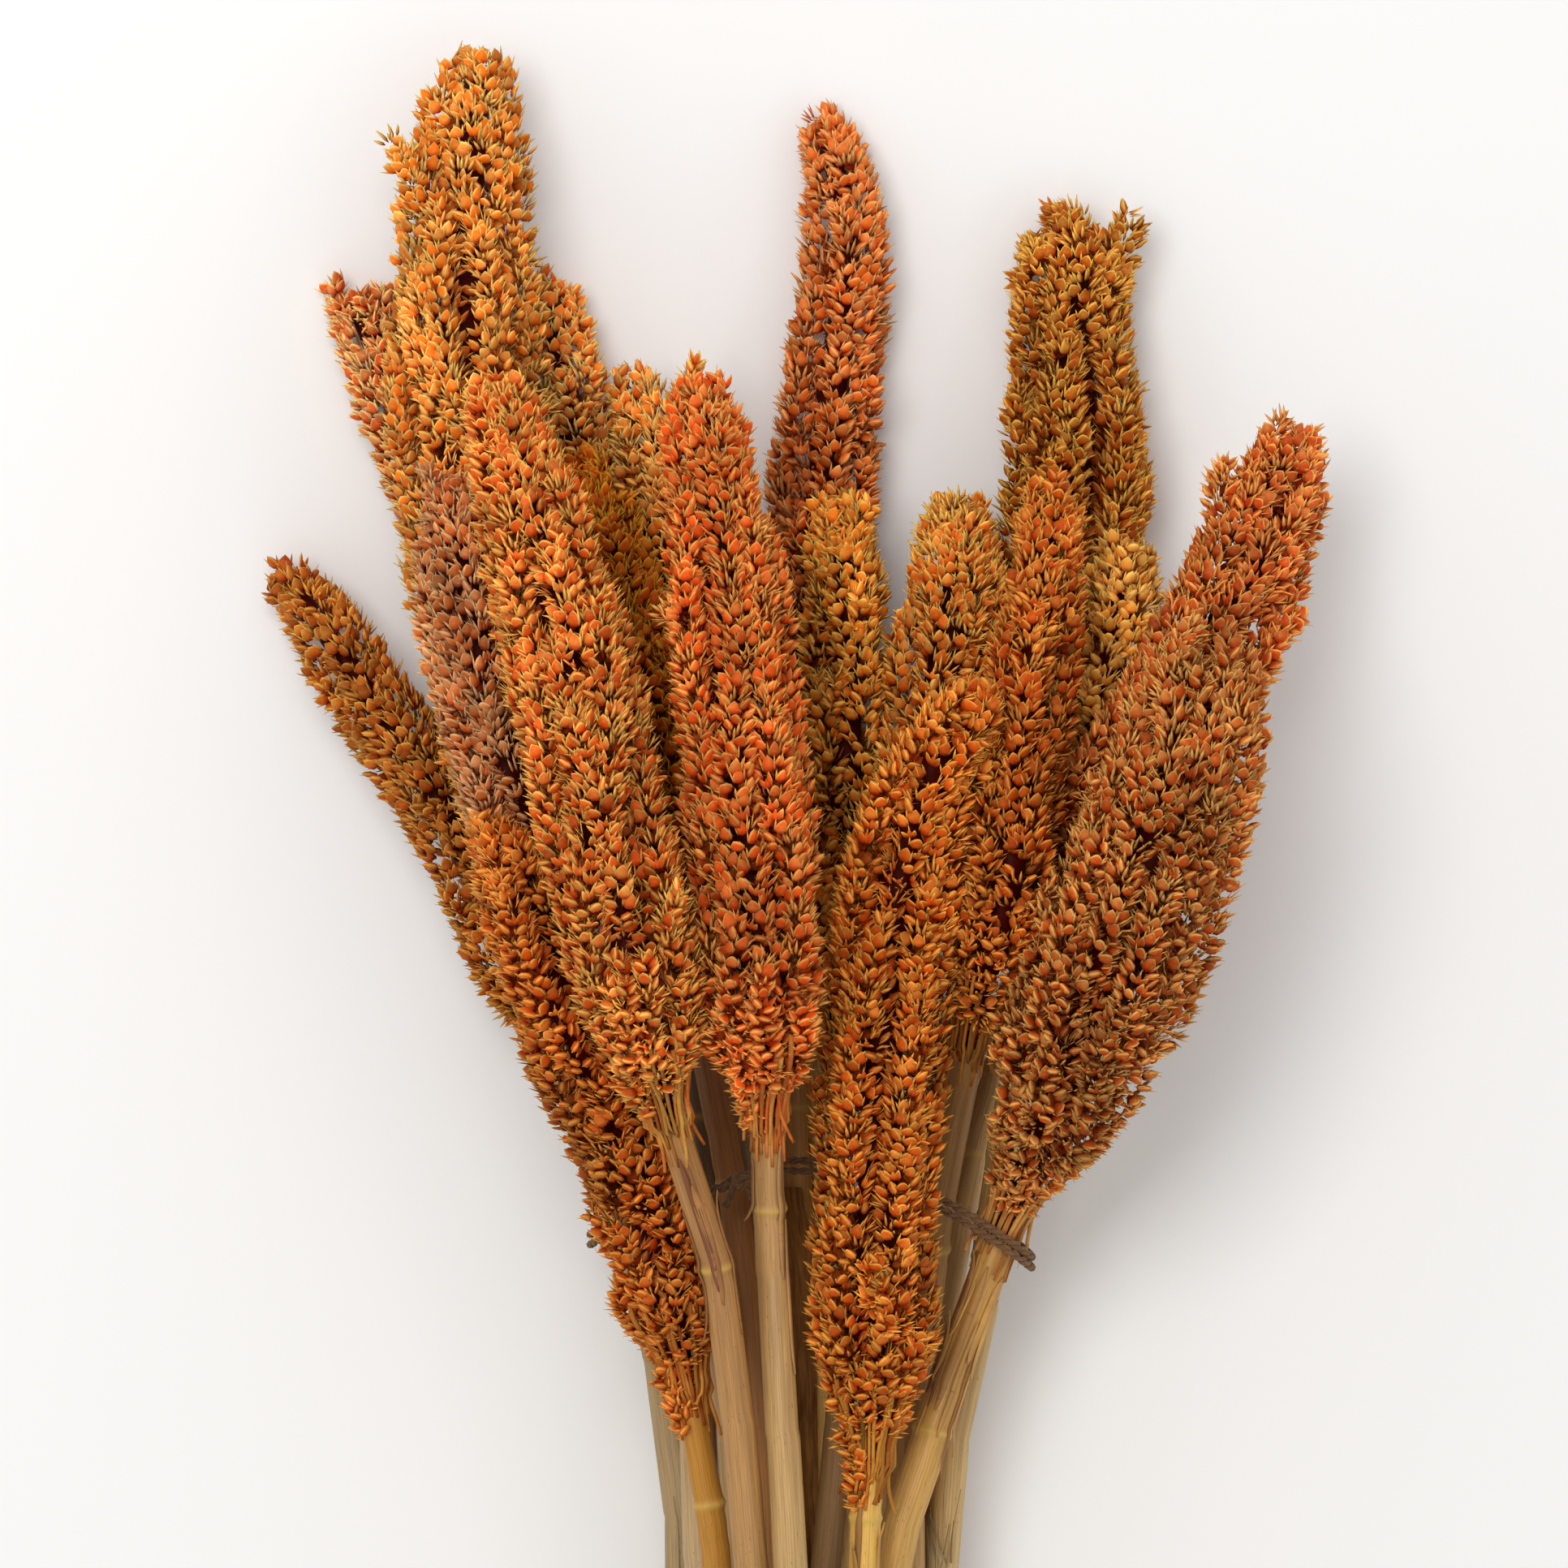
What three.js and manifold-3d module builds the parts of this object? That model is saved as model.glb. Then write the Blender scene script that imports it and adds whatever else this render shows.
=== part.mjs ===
// A tied bunch of dried sorghum stalks lying on a flat surface.
// Each stalk is a straw stem that carries one long seed head; a twine binding holds the stems.
// Millimetres. +Z up from the surface, +Y from the cut ends to the tips, +X across the bunch.
// The origin is under the middle of the bunch, on the surface.

import * as THREE from 'three';
import { mergeVertices } from 'three/addons/utils/BufferGeometryUtils.js';
import Module from 'manifold-3d';

// Overall size of the bunch.
const BUNCH_LENGTH = 652;
const BUNCH_WIDTH = 300;

// Seed heads: a girth of 1 has this radius, and every head narrows to a neck on its stem.
const HEAD_RADIUS = 15.4;
const HEAD_NECK_RADIUS = 5.6;
const HEAD_TIP_SHARE = 0.45;
const HEAD_SWELL = 0.17;
const HEAD_TAPERS_FROM = 0.6;
const LOBE_TAPERS_FROM = 0.5;
const LOBE_LEAVES_OVER = 0.3;
const LOBE_STATIONS = [0, 0.3, 0.5, 0.7, 0.85, 0.97];
const HEAD_SIDES = 12;
const HEAD_STATION_SPACING = 16;
const HEAD_STATION_CROWDING = 0.12;
const HEAD_LAST_STATION = 0.985;

// Stems: a thickness of 1 has this radius at the cut end, and less under the head.
const STEM_RADIUS = 5.8;
const STEM_TOP_SHARE = 0.82;
const STEM_SIDES = 8;
const STEM_STATION_SPACING = 44;
const NODE_RING_RISE = 0.7;
const NODE_RING_LENGTH = 7;
const NODE_RING_SPACING = 170;
const NODE_RING_COUNT = 2;

// Old leaf sheaths that cling to a stem. Each one starts above a node ring.
const SHEATH_THICKNESS = 0.8;
const SHEATH_WRAP = 2.4;
const SHEATH_GAP = 0.6;
const SHEATH_STATION_SPACING = 30;
const SHEATH_ARC_SEGMENTS = 6;

// Twine binding and its knot.
const TWINE_DIAMETER = 2.4;
const TWINE_TURNS = 2;
const TWINE_SIDES = 7;
const TWINE_STEPS_PER_TURN = 56;
const TWINE_TAIL_LENGTH = 9;
const TWINE_TAIL_STEPS = 5;
const TWINE_TAIL_SPREAD = [1.6, 3.4];
const TWINE_TAIL_LIFT = [0.9, 0.4];
const KNOT_RADIUS = 3.1;
const KNOT_LENGTH_SHARE = 0.85;
const KNOT_HEIGHT_SHARE = 0.75;
const KNOT_SEGMENTS = [12, 8];
const KNOT_ACROSS = -15;

// Where the binding crosses the bunch: highest at its middle, lower at its two sides.
const BINDING_ALONG = 333;
const BINDING_DROP = 23;
const BINDING_MIDDLE = 2;
const BINDING_HALF_WIDTH = 62;
const BINDING_REACH = 9;

// Free height under the stems at the binding, where the heads and the cut ends carry the bunch.
const BINDING_HEIGHT = 13;

// Steepest slope at which a free end hangs below the highest place that holds the stalk up.
const STALK_DROOP = 0.22;

// Gaps between pieces: the clearance of touching pieces, and the distance that resting stalks keep.
const CLEARANCE = 0.3;
const REST_GAP = 1;

// Corners closer than this are one corner.
const SAME_CORNER = 1e-4;

// The outline of the bound stems is taken at points this far apart round each stem, in radians.
const OUTLINE_ANGLE = 0.25;

// The plan below is drawn for a bunch of this size, and is stretched to the size above.
const DRAWN_LENGTH = 652;
const DRAWN_WIDTH = 300;
const ALONG = BUNCH_LENGTH / DRAWN_LENGTH;
const ACROSS = BUNCH_WIDTH / DRAWN_WIDTH;

// Plan of the stalks as [across, along] points, from the lowest stalk to the highest.
// head runs from the neck to the tip, stem from the cut end to the neck.
const STALKS_UNDER_TWINE = [
  {
    name: 'c', girth: 0.82, thickness: 0.85, ring: 60, colour: 0xb3683b,
    stem: [[-56, 10], [-28, 222], [-39, 318]],
    head: [[-70, 410], [-84, 468], [-97, 513], [-115, 559], [-128, 588]],
  },
  {
    name: 'd', girth: 0.82, thickness: 0.85, ring: 70, colour: 0xa55928,
    stem: [[-16, 4], [-12, 222], [-21, 322]],
    head: [[-34, 415], [-46, 470], [-55, 513], [-63, 550], [-69, 588]],
  },
  {
    name: 'k', girth: 0.86, thickness: 1.12, ring: 64, sheath: { above: 1, length: 140, turn: 0.3 },
    colour: 0xab602c,
    stem: [[11, 2], [7, 222], [4, 334]],
    head: [[4, 412], [7, 468], [8, 513], [12, 547], [17, 593], [14, 618], [6, 635]],
  },
  {
    name: 'm', girth: 1.2, thickness: 1.0, ring: 80, colour: 0x8d511f,
    stem: [[36, 0], [27, 222], [36, 322]],
    head: [[58, 410], [72, 468], [82, 513], [82, 559], [79, 584], [75, 607]],
    lobe: { from: 0.66, tip: [100, 604], girth: 0.54 },
  },
  {
    name: 'i', girth: 0.76, thickness: 0.85, ring: 90, colour: 0xac6129,
    stem: [[1, 8], [0, 222], [-8, 322]],
    head: [[-22, 395], [-27, 434], [-34, 479], [-39, 525], [-43, 562]],
    lobe: { from: 0.55, tip: [-25, 560], girth: 0.42 },
  },
  {
    name: 'a', girth: 0.74, thickness: 1.1, ring: 74, sheath: { above: 1, length: 80, turn: -0.9 },
    colour: 0x905525,
    stem: [[-45, 6], [-29, 222], [-44, 312]],
    head: [[-66, 366], [-81, 397], [-98, 434], [-123, 472], [-146, 504]],
  },
  {
    name: 'p', girth: 0.8, thickness: 0.9, ring: 66, colour: 0xbd6c26,
    stem: [[58, 0], [38, 222], [50, 322]],
    head: [[72, 400], [84, 445], [93, 479], [96, 513]],
  },
  {
    name: 'b', girth: 1.38, thickness: 1.05, ring: 84, colour: 0xc77e32,
    stem: [[-34, 0], [-24, 222], [-34, 322]],
    head: [[-62, 395], [-75, 457], [-84, 502], [-90, 536], [-92, 582], [-90, 627], [-88, 651]],
    lobe: { from: 0.62, tip: [-113, 626], girth: 0.42 },
  },
  {
    name: 'j', girth: 0.72, thickness: 0.95, ring: 58, colour: 0x8e491b,
    stem: [[-8, 4], [-6, 222], [-15, 322]],
    head: [[-27, 385], [-31, 422], [-40, 468], [-49, 502], [-58, 534]],
  },
  {
    name: 'l', girth: 0.78, thickness: 0.9, ring: 76, colour: 0xa85f1f,
    stem: [[24, 10], [14, 222], [12, 322]],
    head: [[12, 375], [15, 411], [17, 457], [16, 491], [14, 526]],
    lobe: { from: 0.4, tip: [27, 504], girth: 0.45 },
  },
  {
    name: 'n', girth: 0.94, thickness: 0.85, ring: 62, colour: 0xa96424,
    stem: [[17, 4], [11, 222], [24, 322]],
    head: [[35, 390], [41, 434], [43, 468], [48, 491], [48, 525]],
  },
  {
    name: 'f', girth: 0.86, thickness: 0.7, ring: 88, colour: 0x9f6034,
    stem: [[-25, 0], [-14, 222], [-28, 318]],
    head: [[-60, 384], [-72, 422], [-81, 457], [-89, 491], [-96, 527]],
  },
  {
    name: 'q', girth: 1.08, thickness: 1.05, ring: 70, sheath: { above: 1, length: 90, turn: 0.8 },
    colour: 0x984d27,
    stem: [[68, 6], [43, 222], [56, 300]],
    head: [[68, 378], [82, 416], [102, 450], [120, 479], [128, 497], [137, 520], [143, 543]],
    lobe: { from: 0.6, tip: [121, 532], girth: 0.44 },
  },
  {
    name: 'o', girth: 0.78, thickness: 1.1, ring: 60, colour: 0x874318,
    stem: [[47, 8], [33, 222], [38, 290]],
    head: [[50, 368], [58, 400], [64, 434], [68, 468], [72, 502], [74, 527]],
  },
  {
    name: 'r', girth: 1.45, swell: 0.34, thickness: 1.12, ring: 60, colour: 0x874823,
    stem: [[-2, 14], [29, 222], [40, 257]],
    head: [[60, 315], [72, 347], [88, 388], [102, 422], [113, 457], [117, 484]],
  },
];

// These four lie over the binding, and their stems reach in between the bound ones below it.
const STALKS_OVER_TWINE = [
  {
    name: 'g', girth: 0.92, thickness: 0.9, ring: 32, colour: 0x824218,
    stem: [[-12, 12], [-20, 222]],
    head: [[-28, 272], [-33, 297], [-38, 320], [-45, 343], [-54, 364], [-66, 390], [-82, 434]],
  },
  {
    name: 'e', girth: 1.08, thickness: 0.95, ring: 42, colour: 0xb4632e,
    stem: [[7, 8], [-10, 222], [-20, 309]],
    head: [[-32, 347], [-42, 388], [-57, 457], [-64, 491], [-75, 530], [-84, 553]],
  },
  {
    name: 's', girth: 1.05, thickness: 0.9, ring: 16, colour: 0x8e4b1d,
    stem: [[30, 4], [21, 222]],
    head: [[23, 252], [24, 290], [25, 332], [27, 377], [30, 411], [39, 443], [55, 468]],
  },
  {
    name: 'h', girth: 1.06, thickness: 0.98, ring: 24, colour: 0xb45323,
    stem: [[14, 0], [1, 222], [-5, 320]],
    head: [[-6, 346], [-7, 388], [-12, 445], [-18, 502], [-21, 525], [-26, 555]],
  },
];

// Spines are followed in steps of this length, and their bends are eased this many times.
const STEP = 4;
const EASING_PASSES = 90;

const wasm = await Module();
wasm.setup();

function clamp01(value) {
  return Math.min(1, Math.max(0, value));
}

function smooth(value) {
  const t = clamp01(value);
  return t * t * (3 - 2 * t);
}

function planVector([across, along]) {
  return new THREE.Vector3(across * ACROSS, along * ALONG, 0);
}

function bindingAlong(x) {
  const share = (x / ACROSS - BINDING_MIDDLE) / BINDING_HALF_WIDTH;
  return (BINDING_ALONG - BINDING_DROP * share * share) * ALONG;
}

// Radius of a seed head from its neck (u = 0) to its tip (u = 1).
function headRadius(stalk, u) {
  const full = stalk.girth * HEAD_RADIUS;
  const swell = smooth(u / (stalk.swell ?? HEAD_SWELL));
  const ending = clamp01((u - HEAD_TAPERS_FROM) / (1 - HEAD_TAPERS_FROM));
  const taper = 1 - (1 - HEAD_TIP_SHARE) * ending ** 2;
  return (HEAD_NECK_RADIUS + (full - HEAD_NECK_RADIUS) * swell) * taper;
}

function stemRadius(stalk, s) {
  const share = 1 - (1 - STEM_TOP_SHARE) * (s / stalk.neck);
  return STEM_RADIUS * stalk.thickness * share;
}

// Middle of a node ring, counted down from the head.
function nodeRing(stalk, count) {
  return stalk.neck - stalk.ring - count * NODE_RING_SPACING;
}

function sheathStart(stalk) {
  return nodeRing(stalk, stalk.sheath.above) + NODE_RING_LENGTH;
}

function underSheath(stalk, s) {
  if (!stalk.sheath) {
    return false;
  }
  const from = sheathStart(stalk);
  return s >= from - STEP && s <= from + stalk.sheath.length + STEP;
}

// Outer radius of a stalk at the distance s from its cut end, with all that is on it.
function outerRadius(stalk, s) {
  if (s > stalk.neck) {
    return headRadius(stalk, (s - stalk.neck) / (stalk.length - stalk.neck));
  }
  const sheath = underSheath(stalk, s) ? SHEATH_GAP + SHEATH_THICKNESS : 0;
  return stemRadius(stalk, s) + Math.max(sheath, NODE_RING_RISE);
}

// A point on a spine at the distance s from its start.
function pointOn(spine, s) {
  const place = THREE.MathUtils.clamp(s / STEP, 0, spine.length - 1.001);
  const index = Math.floor(place);
  return spine[index].clone().lerp(spine[index + 1], place - index);
}

// Bends a shape that stands along +Y so that it follows a spine.
function bend(geometry, spine) {
  const position = geometry.attributes.position;
  const up = new THREE.Vector3(0, 0, 1);
  for (let i = 0; i < position.count; i += 1) {
    const s = position.getY(i);
    const ahead = pointOn(spine, s + 2 * STEP);
    const tangent = ahead.sub(pointOn(spine, s - 2 * STEP)).normalize();
    const side = new THREE.Vector3().crossVectors(tangent, up).normalize();
    const lift = new THREE.Vector3().crossVectors(side, tangent);
    const place = pointOn(spine, s);
    place.addScaledVector(side, position.getX(i)).addScaledVector(lift, position.getZ(i));
    position.setXYZ(i, place.x, place.y, place.z);
  }
  geometry.deleteAttribute('normal');
  geometry.deleteAttribute('uv');
  return mergeVertices(geometry, SAME_CORNER);
}

function solidOf(geometry) {
  const vertProperties = new Float32Array(geometry.attributes.position.array);
  const triVerts = new Uint32Array(geometry.index.array);
  return new wasm.Manifold(new wasm.Mesh({ numProp: 3, vertProperties, triVerts }));
}

function geometryOf(solid) {
  const mesh = solid.getMesh();
  const geometry = new THREE.BufferGeometry();
  geometry.setAttribute('position', new THREE.BufferAttribute(mesh.vertProperties, 3));
  geometry.setIndex(new THREE.BufferAttribute(mesh.triVerts, 1));
  return geometry;
}

// Lowest height of the centre of a ball at (x, y) that rests on everything laid so far.
function restingHeight(laid, x, y, radius) {
  let height = radius;
  for (const ball of laid) {
    const reach = radius + ball.radius + REST_GAP;
    const dx = x - ball.x;
    const dy = y - ball.y;
    const apart = dx * dx + dy * dy;
    if (apart < reach * reach) {
      height = Math.max(height, ball.z + Math.sqrt(reach * reach - apart));
    }
  }
  return height;
}

// Heights of a straight springy stalk that lies over what holds it up, between two of its places.
function layOver(heights, from, to) {
  const hull = [];
  for (let i = from; i <= to; i += 1) {
    while (hull.length > 1) {
      const a = hull[hull.length - 2];
      const b = hull[hull.length - 1];
      const bridge = heights[a] + (heights[i] - heights[a]) * (b - a) / (i - a);
      if (heights[b] > bridge) {
        break;
      }
      hull.pop();
    }
    hull.push(i);
  }
  for (let k = 1; k < hull.length; k += 1) {
    const a = hull[k - 1];
    const b = hull[k];
    for (let i = a; i < b; i += 1) {
      heights[i] = THREE.MathUtils.lerp(heights[a], heights[b], (i - a) / (b - a));
    }
  }
}

// A stiff stalk keeps its free end up, as far as its droop allows.
function holdUp(heights, end, bound) {
  for (let i = Math.min(end, bound); i <= Math.max(end, bound); i += 1) {
    const hanging = heights[i] - STALK_DROOP * STEP * Math.abs(i - end);
    heights[end] = Math.max(heights[end], hanging);
  }
}

function easeBends(heights, lowest) {
  for (let pass = 0; pass < EASING_PASSES; pass += 1) {
    for (let i = 1; i < heights.length - 1; i += 1) {
      const eased = 0.5 * heights[i] + 0.25 * (heights[i - 1] + heights[i + 1]);
      heights[i] = Math.max(lowest[i], eased);
    }
  }
}

// Draws the spine of a stalk in plan: its length, its neck and its points.
function drawSpine(stalk) {
  const head = stalk.head.map(planVector);
  const stem = stalk.stem.map(planVector);
  const curve = new THREE.CatmullRomCurve3([...stem, ...head], false, 'centripetal');
  const steps = Math.round(curve.getLength() / STEP);
  stalk.spine = curve.getSpacedPoints(steps);
  stalk.length = steps * STEP;
  const toNeck = stalk.spine.map((point) => point.distanceTo(head[0]));
  stalk.neck = STEP * toNeck.indexOf(Math.min(...toNeck));
}

function layStalk(stalk, laid) {
  drawSpine(stalk);
  const lowest = stalk.spine.map((point, i) => {
    return restingHeight(laid, point.x, point.y, outerRadius(stalk, i * STEP));
  });
  const offBinding = stalk.spine.map((point) => Math.abs(point.y - bindingAlong(point.x)));
  const bound = offBinding.indexOf(Math.min(...offBinding));
  const raised = BINDING_HEIGHT + outerRadius(stalk, bound * STEP);
  lowest[bound] = Math.max(lowest[bound], raised);
  const heights = [...lowest];
  holdUp(heights, 0, bound);
  holdUp(heights, heights.length - 1, bound);
  layOver(heights, 0, bound);
  layOver(heights, bound, heights.length - 1);
  easeBends(heights, lowest);
  stalk.spine.forEach((point, i) => point.setZ(heights[i]));
  stalk.bound = bound;
  if (stalk.lobe) {
    layLobe(stalk, laid);
  }
  stalk.spine.forEach((point, i) => {
    laid.push({ x: point.x, y: point.y, z: point.z, radius: outerRadius(stalk, i * STEP) });
  });
}

// A second lobe leaves the head part way up and ends at a tip of its own.
function layLobe(stalk, laid) {
  const lobe = stalk.lobe;
  const root = stalk.neck + lobe.from * (stalk.length - stalk.neck);
  const start = pointOn(stalk.spine, root);
  const along = pointOn(stalk.spine, root + 4 * STEP).sub(start).normalize();
  const tip = planVector(lobe.tip);
  const reach = start.distanceTo(tip.clone().setZ(start.z));
  const middle = start.clone().addScaledVector(along, reach * LOBE_LEAVES_OVER);
  middle.lerp(tip.clone().setZ(start.z), LOBE_LEAVES_OVER);
  const curve = new THREE.CatmullRomCurve3([start, middle, tip.setZ(start.z)]);
  const steps = Math.max(4, Math.round(curve.getLength() / STEP));
  lobe.spine = curve.getSpacedPoints(steps);
  lobe.length = steps * STEP;
  const raise = lobe.spine.map((point, i) => {
    const radius = lobeRadius(lobe, i / steps);
    return restingHeight(laid, point.x, point.y, radius) - point.z;
  });
  const lift = Math.max(0, ...raise);
  lobe.spine.forEach((point, i) => {
    point.z += lift * smooth(3 * i / steps);
    laid.push({ x: point.x, y: point.y, z: point.z, radius: lobeRadius(lobe, i / steps) });
  });
}

function lobeRadius(lobe, u) {
  const full = lobe.girth * HEAD_RADIUS;
  const ending = clamp01((u - LOBE_TAPERS_FROM) / (1 - LOBE_TAPERS_FROM));
  return full * (1 - (1 - HEAD_TIP_SHARE) * ending ** 2);
}

function lathe(profile, sides) {
  const points = profile.map(([radius, s]) => new THREE.Vector2(radius, s));
  return new THREE.LatheGeometry(points, sides);
}

function stemGeometry(stalk) {
  const end = stalk.neck - CLEARANCE;
  const stations = [];
  const rings = [];
  for (let k = 0; k < NODE_RING_COUNT; k += 1) {
    const middle = nodeRing(stalk, k);
    rings.push(middle);
    stations.push([middle - NODE_RING_LENGTH / 2, 0]);
    stations.push([middle, NODE_RING_RISE]);
    stations.push([middle + NODE_RING_LENGTH / 2, 0]);
  }
  const count = Math.round(end / STEM_STATION_SPACING);
  for (let k = 0; k <= count; k += 1) {
    const s = end * k / count;
    if (rings.every((middle) => Math.abs(s - middle) > NODE_RING_LENGTH)) {
      stations.push([s, 0]);
    }
  }
  stations.sort((a, b) => a[0] - b[0]);
  const profile = stations.map(([s, rise]) => [stemRadius(stalk, s) + rise, s]);
  return bend(lathe([[0, 0], ...profile, [0, end]], STEM_SIDES), stalk.spine);
}

// Stations stand closer together where a head swells and where it ends.
function headStation(share) {
  return share - HEAD_STATION_CROWDING * Math.sin(2 * Math.PI * share);
}

function headGeometry(stalk) {
  const span = stalk.length - stalk.neck;
  const profile = [[0, stalk.neck]];
  const count = Math.round(span / HEAD_STATION_SPACING);
  for (let k = 0; k <= count; k += 1) {
    const u = HEAD_LAST_STATION * headStation(k / count);
    profile.push([headRadius(stalk, u), stalk.neck + u * span]);
  }
  profile.push([0, stalk.length]);
  const body = bend(lathe(profile, HEAD_SIDES), stalk.spine);
  if (!stalk.lobe) {
    return body;
  }
  return geometryOf(solidOf(body).add(solidOf(lobeGeometry(stalk.lobe))));
}

function lobeGeometry(lobe) {
  const profile = [[0, 0]];
  for (const u of LOBE_STATIONS) {
    profile.push([lobeRadius(lobe, u), u * lobe.length]);
  }
  profile.push([0, lobe.length]);
  return bend(lathe(profile, STEM_SIDES), lobe.spine);
}

// A sheath is a curved strip that wraps part of the way round its stem.
function sheathGeometry(stalk) {
  const from = sheathStart(stalk);
  const length = stalk.sheath.length;
  const inner = stemRadius(stalk, from) + SHEATH_GAP;
  const start = Math.PI / 2 + stalk.sheath.turn - SHEATH_WRAP / 2;
  const section = new THREE.Shape();
  section.absarc(0, 0, inner + SHEATH_THICKNESS, start, start + SHEATH_WRAP, false);
  section.absarc(0, 0, inner, start + SHEATH_WRAP, start, true);
  const steps = Math.round(length / SHEATH_STATION_SPACING);
  const strip = new THREE.ExtrudeGeometry(section, {
    depth: length, steps, curveSegments: SHEATH_ARC_SEGMENTS, bevelEnabled: false,
  });
  strip.rotateX(-Math.PI / 2);
  strip.scale(1, 1, -1);
  flipFaces(strip);
  strip.translate(0, from, 0);
  return bend(strip, stalk.spine);
}

function flipFaces(geometry) {
  const position = geometry.attributes.position;
  const corner = new THREE.Vector3();
  const other = new THREE.Vector3();
  for (let i = 0; i < position.count; i += 3) {
    corner.fromBufferAttribute(position, i);
    other.fromBufferAttribute(position, i + 2);
    position.setXYZ(i, other.x, other.y, other.z);
    position.setXYZ(i + 2, corner.x, corner.y, corner.z);
  }
}

// Outline of the bound stems in the plane of the binding, as a closed convex loop of [x, z].
function boundOutline(stalks) {
  const corners = [];
  for (const stalk of stalks) {
    stalk.spine.forEach((centre, i) => {
      if (Math.abs(centre.y - bindingAlong(centre.x)) > BINDING_REACH) {
        return;
      }
      const radius = outerRadius(stalk, i * STEP) + REST_GAP + TWINE_DIAMETER / 2;
      for (let angle = 0; angle < 2 * Math.PI; angle += OUTLINE_ANGLE) {
        corners.push([centre.x + radius * Math.cos(angle), centre.z + radius * Math.sin(angle)]);
      }
    });
  }
  corners.sort((a, b) => a[0] - b[0] || a[1] - b[1]);
  return [...halfOutline(corners), ...halfOutline(corners.reverse())];
}

function halfOutline(corners) {
  const chain = [];
  for (const corner of corners) {
    while (chain.length > 1) {
      const [ax, az] = chain[chain.length - 2];
      const [bx, bz] = chain[chain.length - 1];
      if ((bx - ax) * (corner[1] - az) - (bz - az) * (corner[0] - ax) > 0) {
        break;
      }
      chain.pop();
    }
    chain.push(corner);
  }
  return chain.slice(0, -1);
}

// The twine goes round the outline in close turns, and begins and ends at its knot.
function bindingCurve(outline) {
  const loop = new THREE.CatmullRomCurve3(
    outline.map(([x, z]) => new THREE.Vector3(x, 0, z)), true, 'centripetal',
  );
  const count = TWINE_STEPS_PER_TURN;
  const round = loop.getSpacedPoints(count).slice(0, count);
  const knotX = KNOT_ACROSS * ACROSS;
  const scores = round.map((point) => Math.abs(point.x - knotX) - point.z);
  const first = scores.indexOf(Math.min(...scores));
  const points = [];
  const pitch = TWINE_DIAMETER + 2 * CLEARANCE;
  for (let k = 1; k < TWINE_TURNS * count; k += 1) {
    const point = round[(first + k) % count].clone();
    const shift = pitch * (k / count - TWINE_TURNS / 2);
    point.y = bindingAlong(point.x) + shift;
    points.push(point);
  }
  return { curve: new THREE.CatmullRomCurve3(points, false, 'centripetal'), knot: round[first] };
}

function circle(radius, sides) {
  const points = [];
  for (let k = 0; k < sides; k += 1) {
    const angle = 2 * Math.PI * k / sides;
    points.push(new THREE.Vector2(radius * Math.cos(angle), radius * Math.sin(angle)));
  }
  return new THREE.Shape(points);
}

function tube(curve, radius, steps) {
  const geometry = new THREE.ExtrudeGeometry(circle(radius, TWINE_SIDES), {
    steps, extrudePath: curve, bevelEnabled: false,
  });
  geometry.deleteAttribute('normal');
  geometry.deleteAttribute('uv');
  return mergeVertices(geometry, SAME_CORNER);
}

function knotGeometry(centre) {
  const body = new THREE.SphereGeometry(KNOT_RADIUS, ...KNOT_SEGMENTS);
  body.scale(1, KNOT_LENGTH_SHARE, KNOT_HEIGHT_SHARE);
  body.translate(centre.x, centre.y, centre.z);
  body.deleteAttribute('normal');
  body.deleteAttribute('uv');
  let solid = solidOf(mergeVertices(body, SAME_CORNER));
  for (const side of [-1, 1]) {
    const points = [centre.clone()];
    for (const k of [0, 1]) {
      const along = -TWINE_TAIL_LENGTH * (k + 1) / 2;
      const reach = new THREE.Vector3(side * TWINE_TAIL_SPREAD[k], along, TWINE_TAIL_LIFT[k]);
      points.push(centre.clone().add(reach));
    }
    const tail = new THREE.CatmullRomCurve3(points);
    solid = solid.add(solidOf(tube(tail, TWINE_DIAMETER / 2, TWINE_TAIL_STEPS)));
  }
  return geometryOf(solid);
}

const bunch = new THREE.Group();

function addPiece(name, geometry, colour, roughness) {
  const material = new THREE.MeshStandardMaterial({ color: colour, roughness, metalness: 0 });
  const mesh = new THREE.Mesh(geometry, material);
  mesh.name = name;
  bunch.add(mesh);
}

const laid = [];
for (const stalk of STALKS_UNDER_TWINE) {
  layStalk(stalk, laid);
}

const binding = bindingCurve(boundOutline(STALKS_UNDER_TWINE));
const bindingSteps = TWINE_TURNS * TWINE_STEPS_PER_TURN;
for (const point of binding.curve.getSpacedPoints(4 * bindingSteps)) {
  laid.push({ x: point.x, y: point.y, z: point.z, radius: TWINE_DIAMETER / 2 });
}
const knotCentre = binding.knot.clone();
knotCentre.y = bindingAlong(knotCentre.x);
knotCentre.z += TWINE_DIAMETER / 2 + KNOT_HEIGHT_SHARE * KNOT_RADIUS + CLEARANCE;
for (let k = 0; k <= 4; k += 1) {
  const y = knotCentre.y - TWINE_TAIL_LENGTH * k / 4;
  laid.push({ x: knotCentre.x, y, z: knotCentre.z, radius: KNOT_RADIUS });
}

for (const stalk of STALKS_OVER_TWINE) {
  layStalk(stalk, laid);
}

const STRAW_COLOUR = 0xb28856;
const SHEATH_COLOUR = 0xa68a5f;
const TWINE_COLOUR = 0x5f4330;

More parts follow.
